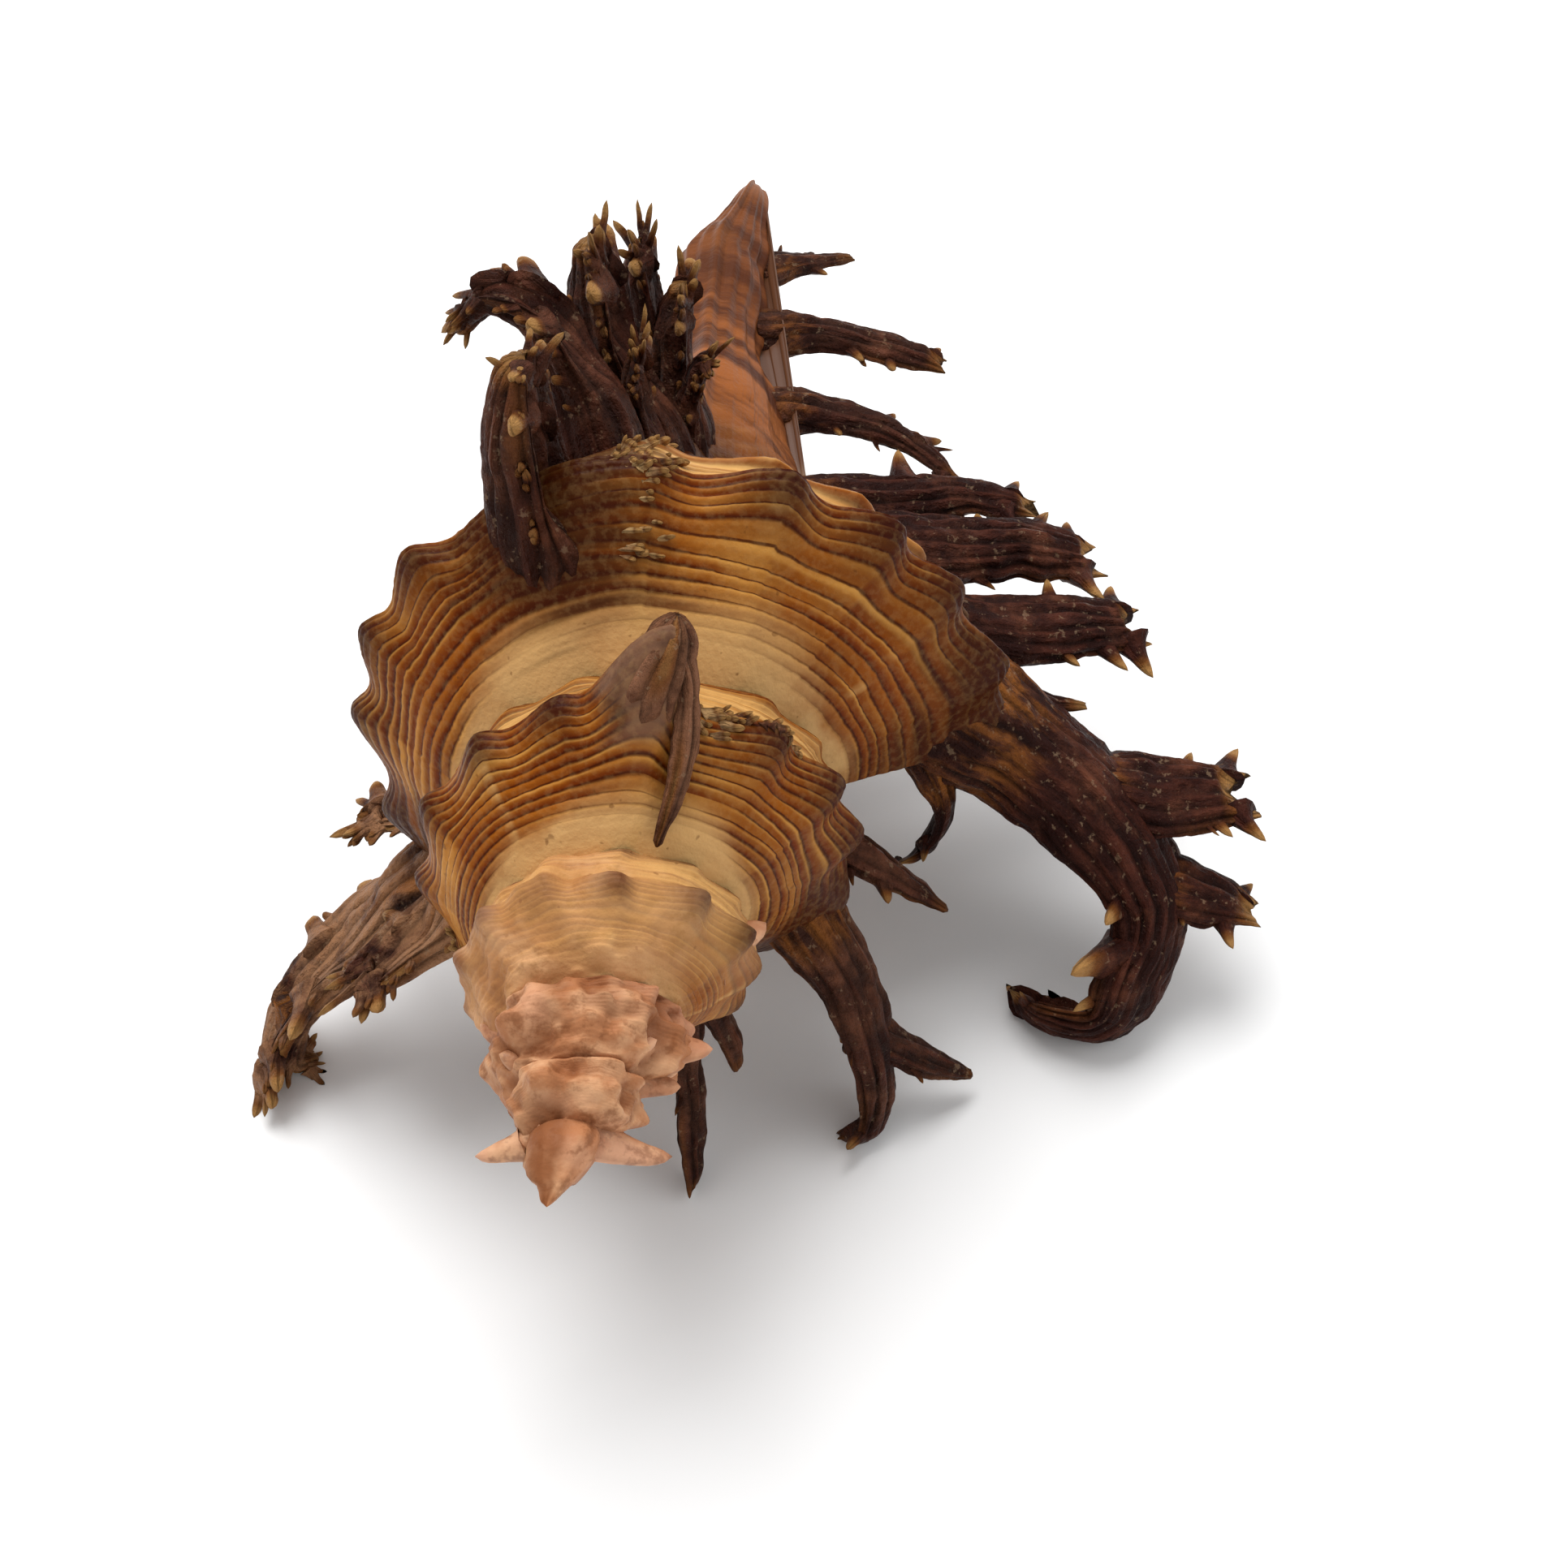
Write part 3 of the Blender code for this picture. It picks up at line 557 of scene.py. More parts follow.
def wall(turns, share, cords, cord_height):
    """The outer wall as a grid over turns and share, with its attributes.

    The plain radius grows by an exponential of the angle. Nodes, varices, spiral cords and growth lines
    raise it, each as a product of a bump along the turn and a bump across the band."""
    turns, share = np.meshgrid(turns, share, indexing="ij")
    plain = outline(turns, share)
    along, radius = plain[..., 0], plain[..., 1]
    angle = LIP_ANGLE + 360 * turns
    size = EXPANSION**-turns
    place = about_axis(angle, radius, along)
    leaning = turns + 0.008 * np.sin(share * 5 + 1) + 0.006 * noise(place, 9.0)
    nodes, varices = ribs(leaning, NODES, NODE_REACH), ribs(leaning, VARICES, VARIX_REACH)
    stretch, since = growth_stops(leaning + 0.002 * noise(place, 1.5))
    on_canal = smooth(along, CANAL_START, CANAL_FULL) * (share > 1)
    # Each node swells over the shoulder, ends in a ledge, and leaves a scoop below it.
    swell = smooth(share, *SHOULDER_RISE)
    ledge = swell * (1 - smooth(share, *LEDGE_FALL))
    scoop = smooth(share, *SCOOP_FALL) * (1 - smooth(share, *SCOOP_RISE))
    edge = smooth(share, *SUTURE_EDGE) * np.where(share <= 1, 1 - smooth(share, *NEXT_SUTURE_EDGE), 1.0)
    second = smooth(share, *SECOND_RISE) * np.where(share <= 1, 1, 1 - smooth(share, *SECOND_FALL))
    lift = nodes * NODE_HEIGHT * ledge * edge + SECOND_NODE_HEIGHT * nodes * second
    lift = lift + LEDGE_HEIGHT * ledge - SCOOP_DEPTH * scoop * edge
    lift = lift + varices * (VARIX_FOOT_HEIGHT + VARIX_HEIGHT * swell) * edge
    # The wall rises to the tall spine.
    spine = ribs(turns, [SPINE_TURNS], SPINE_REACH)
    spine = spine * smooth(share, 0.1, 0.6) ** 1.5 * (1 - smooth(share, 0.6, 0.84))
    lift = lift + SPINE_SWELL * spine * (1 + 0.15 * noise(place, 2.0))
    # Cords and growth lines.
    line, cord = spiral_cords(turns, share, cords, stretch)
    fade = (1 - 0.9 * on_canal) * smooth(share, 0.04, 0.25)
    lift = lift + cord_height * fade * cord * (0.75 + 0.5 * nodes)
    growth = noise(np.stack([turns * 360 / 0.9, share * 3, 0 * share], -1), 1.0)
    lift = lift + GROWTH_LINE_HEIGHT * growth + UNEVENNESS * rough(place, 3.2)
    lift = lift + STOP_HEIGHT * smooth(since, 0.8, 1.0) * fade
    # Old crust on the first whorls.
    crust = smooth(turns + 0.35 * noise(place, 4.0), *CRUST_TURNS)
    knobs = 0.6 * noise(place, 2.2) + 0.7 * noise(place + 7, 1.0) + 0.25 * noise(place + 3, 0.5)
    # The wall swells round the fronds' feet and gets painted shade there.
    swelling, painted_foot_shade = foot_swelling(place)
    raised = radius + lift * size * (1 - 0.65 * on_canal) + crust * CRUST_HEIGHT * knobs * edge
    raised = raised + swelling * edge
    # The canal is narrower, with its slit and furrows along it.
    from_slit = (angle - SLIT_ANGLE + 180) % 360 - 180
    slit = SLIT_DEPTH * on_canal * np.exp(-((from_slit / SLIT_HALF_ANGLE) ** 2))
    raised = raised * (1 - 0.18 * on_canal) * (1 - slit)
    furrow = FURROW_HEIGHT * np.cos(np.radians(angle) * 16 + 2 * noise(place, 6.0))
    furrow = furrow + 0.22 * rough(place, 4.0)
    raised = raised + on_canal * furrow * smooth(CANAL_END - along, 0, 8)
    points = about_axis(angle, np.maximum(raised, 0.05), along)
    shift_x, shift_z = canal_shift(along)
    points[..., 0] += shift_x
    points[..., 2] += shift_z
    # What the colours follow.
    strength = 0.5 + 0.5 * np.sin(stretch * 2.4 + share * 3)
    top = 1 - 0.5 * smooth(np.abs(turns % 1 - 0.27), 0.08, 0.2)
    ramp_start, ramp_end = 0.1 + 0.05 * noise(place, 6.0), 0.27 + 0.05 * noise(place, 5.0)
    ramp = 1 - smooth(share, ramp_start * top, ramp_end * top)
    faint = 0.55 * smooth(turns, 1.75, 2.2)
    crest = np.maximum(nodes, 0.6 * varices) * smooth(share, 0.36, 0.54) * (1 - smooth(share, 0.64, 0.68))
    values = {
        "line": line,
        "turn": turns,
        "along": along,
        "ramp": ramp,
        "bare": 1 - 0.9 * ramp,
        "lined": (1 - 0.97 * ramp) * (1 - on_canal) * (1 - faint),
        "faint": faint,
        "fresh": (1 - since) ** 1.2 * (0.35 + 0.65 * strength),
        "stop": smooth(since, 0.8, 0.97) * smooth(strength, 0.45, 1) * smooth(rough(place, 3.0), -0.1, 0.5),
        # Painted shade on the side of each whorl towards the lip.
        "painted_side_shade": smooth(np.cos(np.radians(angle - 12)), 0.35, 0.95),
        "crest": crest + 0.8 * nodes * smooth(share, 0.88, 0.94),
        "scoop": scoop * (1 - spine),
        "spur": spine,
        # Painted shade round the fronds' feet.
        "painted_foot_shade": painted_foot_shade,
        "crust": crust,
        "pit": crust * np.clip(0.5 - knobs, 0, 1),
    }
    return points, values


def close_end(points, values):
    """The wall with its last column drawn in to the middle, as a shallow dimple at the end of the canal."""
    rim = points[:, -1:]
    middle = rim.mean(axis=0, keepdims=True)
    inward = np.linspace(0, 1, 6)[1:, None]
    dimple = rim + (middle - rim) * inward - np.array([0.0, CANAL_DIMPLE, 0.0]) * inward
    points = np.concatenate([points, dimple], axis=1)
    added = ((0, 0), (0, dimple.shape[1]))
    return points, {key: np.pad(value, added, mode="edge") for key, value in values.items()}


def apex_knob(last_turn, columns, rows):
    """The round knob at the apex: the last turn's upper edge drawn in to a point along a quarter circle."""
    edge, values = wall(np.linspace(last_turn - 1, last_turn, columns), np.array([0.0]), 1, 0)
    share = np.sin(np.linspace(0, np.pi / 2, rows))[:, None, None]
    tip = np.array([0.0, 0.9, 0.0])
    points = edge[:, 0][None] * (1 - share) + tip * share
    points[..., [0, 2]] *= 1 + 0.5 * np.sin(np.pi * share)
    points = points + 0.3 * (noise(points, 1.3) + noise(points, 0.6))[..., None] * np.sin(np.pi * share)
    values = {key: np.broadcast_to(value[:, 0][None], points.shape[:2]) for key, value in values.items()}
    return points, values


def mouth(rings, around):
    """The mouth: from the lip's edge and the turn before it in to an oval, and back along the coil.

    Each ring is an oval about a point of the coil, in the plane through the axis at its own angle. The
    ovals narrow by a cube of the turns, and close round at the end."""
    half = around // 2
    outer = wall(np.array([0.0]), np.linspace(0, 2, half), 1, 0)[0][0]
    inner = wall(np.array([1.0]), np.linspace(2, 1, around - half), 1, 0)[0][0]
    edge = np.vstack([outer, inner])
    tilt = np.radians(LIP_ANGLE)
    edge_radius = edge[:, 0] * math.cos(tilt) + edge[:, 2] * math.sin(tilt)
    rise = (edge_radius - HOLLOW_CENTRE[1]) / HOLLOW_HALF[1]
    phase = np.unwrap(np.arctan2(rise, (edge[:, 1] - HOLLOW_CENTRE[0]) / HOLLOW_HALF[0]))
    inside = np.linspace(0, 1, rings)[:, None]
    lip = LIP_RINGS / (rings - 1)
    turns = HOLLOW_TURNS * smooth(inside, lip, 1.2)
    closing = np.sqrt(np.maximum(1 - (np.maximum(inside - 0.9, 0) / 0.1) ** 2, 0))
    narrow = (1 - 0.35 * (turns / HOLLOW_TURNS) ** 3) * closing
    along = (HOLLOW_CENTRE[0] + HOLLOW_HALF[0] * narrow * np.cos(phase)) * EXPANSION**-turns
    radius = (HOLLOW_CENTRE[1] + HOLLOW_HALF[1] * narrow * np.sin(phase)) * EXPANSION**-turns
    oval = about_axis(LIP_ANGLE + 360 * turns, radius, along)
    blend = np.minimum(inside / lip, 1)[..., None]
    return edge * (1 - blend) + oval * blend, np.broadcast_to(inside, (rings, around))


# Fronds


def frond_line(path, step):
    """A frond's middle line every step mm, its directions ahead, across and through, and its length.

    Across is held as near to the axis as the line allows, ring after ring."""
    path = np.array(path, float)
    knots = about_axis(path[:, 0], path[:, 1], path[:, 2])
    length = np.linalg.norm(np.diff(knots, axis=0), axis=1).sum()
    count = max(int(length / step), 12)
    line = spline(knots, np.linspace(0, 1, count))
    ahead = np.gradient(line, axis=0)
    ahead /= np.linalg.norm(ahead, axis=1)[:, None]
    across = np.zeros_like(ahead)
    held = np.array([0.0, 1.0, 0.0])
    for k, direction in enumerate(ahead):
        held = held - held.dot(direction) * direction
        held /= np.linalg.norm(held)
        across[k] = held
    return line, ahead, across, np.cross(ahead, across), length


def frond_tube(line, ahead, across, through, length, path, widths, style, seed):
    """A frond without its side spikes, as a part for make_piece.

    The cross-section is an oval with round cords and sharp grooves between them, hollowed like a gutter
    in front. The end is round or has two horns, which stand ahead by the square of the cosine across it."""
    s = np.linspace(0, 1, len(line))[:, None]
    wide = np.interp(s, np.linspace(0, 1, len(widths)), widths)
    cords = max(round(float(np.mean(wide)) * CORDS_PER_MM), LEAST_CORDS)
    around = min(cords * POINTS_PER_CORD, MOST_POINTS)
    phase = np.linspace(0, 2 * np.pi, around, endpoint=False)[None, :]
    cos, sin = np.cos(phase), np.sin(phase)
    along = s * length
    wave = np.stack([along / 2.6, 0 * along + seed * 1.7, 0 * along], -1)
    half = wide / 2 * (1 + 0.14 * noise(wave, 1.0))
    deep = wide / 2 * (style["depth"] + 0.2 * (1 - s)) * (1 + 0.14 * noise(wave + 5.5, 1.0))
    # The cords twist and vary round the ring.
    ring = np.stack(np.broadcast_arrays(2.5 * cos, 2.5 * sin + seed, along / 5), -1)
    angle = cords * phase / 2 + 0.8 * noise(wave / 2.5 + 3, 1.0) + 1.1 * noise(ring, 1.0)
    uneven = 1 + 0.8 * noise(ring * 1.3 + 9, 1.0)
    ridge = (np.abs(np.cos(angle)) ** 0.7 - 0.6) * uneven + 0.25 * (np.abs(np.cos(angle * 2 + 1)) - 0.6)
    bump = 0.26 * np.minimum(np.minimum(half, deep), 1.3) * ridge
    gutter = style["gutter"] * np.where(sin < 0, 1 - cos**2, 0.0) * smooth(s, 0.15, 0.45)
    x = (half + bump) * cos
    y = deep * sin + gutter * deep * 1.1 + bump * sin
    # The end.
    end = smooth(along, length - END_LENGTH, length)
    last = 0.5 * widths[-1]
    horns = style["horns"] * min(widths[-1] / END_LENGTH, 1.0)
    horned = horns > 0.2
    round_off = np.clip((along - length + last) / (last + 0.01), 0, 1)
    close = np.sqrt(np.clip(1 - round_off**2, 0.02, 1))
    x = x * (1 - 0.2 * end) * (1.0 if horned else close)
    y = y * (1 - 0.75 * horns * end**1.5) * close ** (0.4 if horned else 1.0)
    horn = end * half * horns * (cos**2 - 0.5 + 0.35 * noise(ring * 1.5 + 4, 1.0))
    points = line[:, None] + x[..., None] * across[:, None] + y[..., None] * through[:, None]
    points = points + horn[..., None] * ahead[:, None]
    outward = cos[..., None] * across[:, None] + sin[..., None] * through[:, None]
    points = points + (FROND_UNEVENNESS * rough(points, 1.4) * (1 - 0.6 * end))[..., None] * outward
    # What the colours follow.
    from_foot = np.linalg.norm(points - frond_foot(path, style["whorl"]), axis=-1)
    edge_wear = np.abs(cos) ** 8 * smooth(s, 0.2, 0.7) * (0.35 + 0.35 * style["tint"])
    values = {
        "foot": style["rust"] * np.exp(-((from_foot / (0.36 * widths[0] + 1.4)) ** 2)),
        "end": np.maximum(smooth(along, length - TAN_LENGTH, length) * style["tan"], edge_wear),
        "rib": angle / np.pi,
        "length": np.broadcast_to(along, points.shape[:2]),
        # The groove mask is where painted shade darkens the grooves between the cords.
        "groove": np.clip(0.35 - ridge, 0, 1),
        "tint": np.full(points.shape[:2], style["tint"]),
    }
    return points, grid_faces(*points.shape[:2], True) + end_caps(*points.shape[:2]), values


def frond(path, widths, spikes, style, step, seed):
    """A frond with its side spikes, small spikes on its edges and a fan of prongs at its end, as parts."""
    line, ahead, across, through, length = frond_line(path, step)
    last_ring = len(line) - 1
    wide = np.interp(np.linspace(0, 1, len(line)), np.linspace(0, 1, len(widths)), widths)
    parts = [frond_tube(line, ahead, across, through, length, path, widths, style, seed)]
    rng = np.random.default_rng(seed * 7 + 1)
    for share, side, size in spikes:
        k = int(share * last_ring)
        out = across[k] * side + through[k] * rng.uniform(-0.2, 0.2) + ahead[k] * rng.uniform(0.0, 0.3)
        root = line[k] + across[k] * side * wide[k] * 0.28
        reach, half = size + wide[k] * 0.18, 0.3 * size + 0.35
        parts.append(spike(root, out, ahead[k], reach, half, share, style, rng))
    worn = {**style, "tan": style["tan"] - 0.4}
    for _ in range(int(style["frill"] * length)):
        share, side = rng.uniform(0.22, 0.97), rng.choice([-1, 1])
        k = int(share * last_ring)
        out = across[k] * side + through[k] * rng.uniform(-0.35, 0.35) + ahead[k] * rng.uniform(-0.1, 0.8)
        root = line[k] + across[k] * side * wide[k] * 0.42
        size = rng.uniform(0.4, 1.3)
        parts.append(spike(root, out, ahead[k], size + 0.3, rng.uniform(0.25, 0.5), share, worn, rng))
    for fan in np.linspace(-1, 1, style["prongs"]):
        k = int(rng.uniform(0.84, 0.97) * last_ring)
        out = across[k] * fan * 1.1 + ahead[k] * rng.uniform(0.7, 1.1) + through[k] * rng.uniform(-0.7, 0.7)
        root = line[k] + across[k] * fan * wide[k] * 0.2 - ahead[k] * 0.4
        size = rng.uniform(1.0, 2.4) * min(1.0, 0.5 + widths[-1] / 4)
        half = rng.uniform(0.34, 0.56) * min(1.0, 0.45 + widths[-1] / 4)
        parts.append(spike(root, out, ahead[k], size + 0.5, half, 0.95, style, rng))
    return parts


def spike(root, out, ahead, reach, half, share, style, rng):
    """A side branch from root towards out, bending ahead by a power of the way along it.

    Its ring is a waved circle. It ends pointed or as a round knob, as the style has it."""
    rings, around = 12, 14
    s = np.linspace(0, 1, rings)[:, None]
    out = out / np.linalg.norm(out)
    bend = rng.uniform(0.1, 0.45)
    path = root + out * s * reach + ahead * s**1.8 * reach * bend
    forward = np.gradient(path, axis=0)
    forward /= np.linalg.norm(forward, axis=1)[:, None]
    flank = np.cross(forward, np.cross(out, ahead) + 0.01)
    flank /= np.linalg.norm(flank, axis=1)[:, None]
    up = np.cross(flank, forward)
    phase = np.linspace(0, 2 * np.pi, around, endpoint=False)[None, :]
    knob = 0.18 * style["blunt"] * np.exp(-(((s - 0.85) / 0.16) ** 2))
    profile = (1 - (0.95 - 0.5 * style["blunt"]) * s) * (1 + 0.5 * (1 - s) ** 4) + knob
    profile = profile * np.sqrt(np.clip(1 - s**8, 0.01, 1))
    wide = half * profile * (1 + 0.1 * np.cos(3 * phase + share * 40))
    points = path[:, None] + (wide * np.cos(phase))[..., None] * flank[:, None]
    points = points + (wide * np.sin(phase))[..., None] * up[:, None] * 0.7
    points = points + 0.06 * noise(points, 0.6)[..., None] * up[:, None]
    none = np.zeros((rings, around))
    values = {
        "foot": none,
        "end": none + smooth(s, 0.25, 0.95) * (0.5 + 0.5 * style["tan"]),
        "rib": none + phase / np.pi * 2,
        "length": none + share * 10 + s * reach,
        "groove": none,
        "tint": none + style["tint"],
    }
    return points, grid_faces(rings, around, True) + end_caps(rings, around), values


def crusty_edge(spans, seed):
    """Small blunt scales along worn growth edges, each span being (turns, turns, share, share, number)."""
    rng = np.random.default_rng(seed)
    parts = []
    for first, last, low, high, count in spans:
        for _ in range(count):
            turns, share = rng.uniform(first, last), rng.uniform(low, high)
            grid = wall(np.array([turns, turns + 0.004]), np.array([share, share + 0.01]), 1, 0)[0]
            around_it, across_it = grid[1, 0] - grid[0, 0], grid[0, 1] - grid[0, 0]
            out = np.cross(across_it, around_it)
            lean = -around_it / np.linalg.norm(around_it)
            side = across_it / np.linalg.norm(across_it)
            out = out / np.linalg.norm(out) + lean * rng.uniform(0.2, 1.2) + side * rng.uniform(-0.5, 0.5)
            root = grid[0, 0] - out * 0.3
            reach, half = rng.uniform(0.4, 1.1), rng.uniform(0.16, 0.4)
            parts.append(spike(root, out, lean, reach, half, share, SCALE_STYLE, rng))
    return parts


def frond_row(fronds, style, step, seed):
    """The parts of one row of fronds, from its table."""
    parts = []
    for number, (path, widths, spikes) in enumerate(fronds.values()):
        parts += frond(path, widths, spikes, style, step, seed + number)
    return parts


def worn_stubs(stubs, style, seed):
    """The parts of the worn round stubs, from their table."""
    rng = np.random.default_rng(seed)
    ahead = np.array([0.0, 1.0, 0.0])
    parts = []
    for root, tip, width in stubs.values():
        root, tip = about_axis(*root), about_axis(*tip)
        parts.append(spike(root, tip - root, ahead, np.linalg.norm(tip - root), width / 2, 0.9, style, rng))
    return parts


# Materials


def linear(hex_colour):
    """A hex sRGB colour as linear RGBA."""
    channels = [int(hex_colour[i : i + 2], 16) / 255 for i in (1, 3, 5)]
    return (*[c / 12.92 if c <= 0.04045 else ((c + 0.055) / 1.055) ** 2.4 for c in channels], 1.0)


def add_node(tree, kind, inputs, output=0, **settings):
    """One output of a new node with its settings and inputs: a value is set, and a socket is linked."""
    node = tree.nodes.new(kind)
    for key, value in settings.items():
        setattr(node, key, value)
    for key, value in inputs.items():
        if isinstance(value, bpy.types.NodeSocket):
            tree.links.new(value, node.inputs[key])
        else:
            node.inputs[key].default_value = value
    return node.outputs[output]


def start_material(name):
    """A new material with its node tree, its shader and the place on the piece."""
    material = bpy.data.materials.new(name)
    material.use_nodes = True
    tree = material.node_tree
    return material, tree, tree.nodes["Principled BSDF"], add_node(tree, "ShaderNodeTexCoord", {}, "Object")


def read_marks(tree, names):
    """The values stored on the piece, by name."""
    return {name: add_node(tree, "ShaderNodeAttribute", {}, "Fac", attribute_name=name) for name in names}


def grow_grains(tree, table):
    """Noises by name from a table of (vector, bumps per unit of the vector, detail, roughness)."""
    inputs = ("Vector", "Scale", "Detail", "Roughness")
    rows = {name: dict(zip(inputs, row)) for name, row in table.items()}
    return {name: add_node(tree, "ShaderNodeTexNoise", row, "Fac") for name, row in rows.items()}


def coat(tree, under, over, strength, *masks, most=1.0):
    """The under colour with the over one laid on it, by the strength times every mask, up to most.

    A mask is a socket, or (socket, low, high) for one that goes smoothly from 0 at low to 1 at high."""
    share = strength
    for mask in masks:
        if isinstance(mask, tuple):
            limits = dict(zip(("Value", "From Min", "From Max"), mask))
            mask = add_node(tree, "ShaderNodeMapRange", limits, interpolation_type="SMOOTHSTEP")
        share = add_node(tree, "ShaderNodeMath", {0: share, 1: mask}, operation="MULTIPLY")
    share = add_node(tree, "ShaderNodeMath", {0: share, 1: most}, operation="MINIMUM")
    under, over = (linear(colour) if isinstance(colour, str) else colour for colour in (under, over))
    return add_node(tree, "ShaderNodeMix", {0: share, 6: under, 7: over}, 2, data_type="RGBA")


def finish_shader(tree, shader, colour, roughness, specular, height, strength, depth):
    """Gives the shader its colour and gloss, and a fine relief of a depth in mm."""
    bump = {"Height": height, "Strength": strength, "Distance": depth * MM}
    tree.links.new(colour, shader.inputs["Base Color"])
    tree.links.new(add_node(tree, "ShaderNodeBump", bump), shader.inputs["Normal"])
    shader.inputs["Roughness"].default_value = roughness
    shader.inputs["Specular IOR Level"].default_value = specular


def per_metre(size):
    """Bumps per metre of a pattern whose bumps are a size in mm apart."""
    return 1 / (size * MM)


def crust_colours(tree, place):
    """Peach and pale tan lime with pink clouds and brown specks, and brown in its pits."""
    grain = grow_grains(tree, {
        "clouds": (place, per_metre(2.63), 4.0, 0.55),
        "pink": (place, per_metre(5.26), 2.0, 0.55),
        "specks": (place, per_metre(1.25), 4.0, 0.65),
    })
    pit = read_marks(tree, ["pit"])["pit"]
    colour = coat(tree, "#b07650", "#d2a078", 1.0, (grain["clouds"], 0.4, 0.62))
    colour = coat(tree, colour, "#bf8468", 0.5, (grain["pink"], 0.5, 0.66))
    colour = coat(tree, colour, "#7c4a2c", 0.6, (grain["specks"], 0.5, 0.66))
    return coat(tree, colour, "#7a4628", 0.8, pit)


def cord_colours(tree, colour, mark, grain, line_colour):
    """Across each cord the colour runs from a fine dark line through red brown to gold and then cream."""
    wander = {0: grain["wander"], 1: 0.3, 2: mark["line"]}
    wander = add_node(tree, "ShaderNodeMath", wander, operation="MULTIPLY_ADD")
    phase = add_node(tree, "ShaderNodeMath", {0: wander}, operation="FRACT")
    near = add_node(tree, "ShaderNodeMath", {0: wander, 1: 0.5}, operation="PINGPONG")
    # How strong the lines are here, and how wide: both change along them.
    limits = {"Value": grain["strength"], "From Min": 0.34, "From Max": 0.6, "To Max": 0.7}
    strength = add_node(tree, "ShaderNodeMapRange", limits, interpolation_type="SMOOTHSTEP")
    strength = {0: mark["fresh"], 1: 0.3, 2: strength}
    strength = add_node(tree, "ShaderNodeMath", strength, operation="MULTIPLY_ADD")
    width = add_node(tree, "ShaderNodeMath", {0: grain["width"], 1: strength}, operation="MULTIPLY")
    width = add_node(tree, "ShaderNodeMath", {0: width, 1: 0.52, 2: 0.09}, operation="MULTIPLY_ADD")
    lined = mark["lined"]
    # Painted highlight: cream on the top of each cord, before the next line.
    colour = coat(tree, colour, "#d69c4c", 0.6, lined, (phase, 0.5, 0.85), (grain["streaks"], 0.42, 0.62))
    colour = coat(tree, colour, "#6a2a04", 1.7, lined, strength, (phase, 0.78, 0.0), most=0.94)
    return coat(tree, colour, line_colour, 0.92, lined, (near, width, 0.03), (grain["breaks"], 0.28, 0.44))


def canal_colours(tree, colour, mark):
    """The canal: orange at its root, then browner to the end in soft bands across, with a pinkish tip."""
    along = add_node(tree, "ShaderNodeMath", {0: mark["along"], 1: 0.34}, operation="MULTIPLY")
    turned = add_node(tree, "ShaderNodeMath", {0: mark["turn"], 1: 2.0}, operation="MULTIPLY")
    banded = add_node(tree, "ShaderNodeCombineXYZ", {"X": along, "Y": turned})
    bands = grow_grains(tree, {"bands": (banded, 1.0, 4.0, 0.6)})["bands"]
    along = mark["along"]
    canal = coat(tree, "#94562c", "#431f11", 1.0, (bands, 0.38, 0.6))
    canal = coat(tree, canal, "#4e2a1c", 0.6, (along, 66.0, 80.0))
    canal = coat(tree, canal, "#8a5e46", 1.0, (along, 90.0, 93.5))
    colour = coat(tree, colour, "#8c5222", 0.6, (along, 50.0, 56.0))
    return coat(tree, colour, canal, 0.9, (along, 54.0, 61.0))


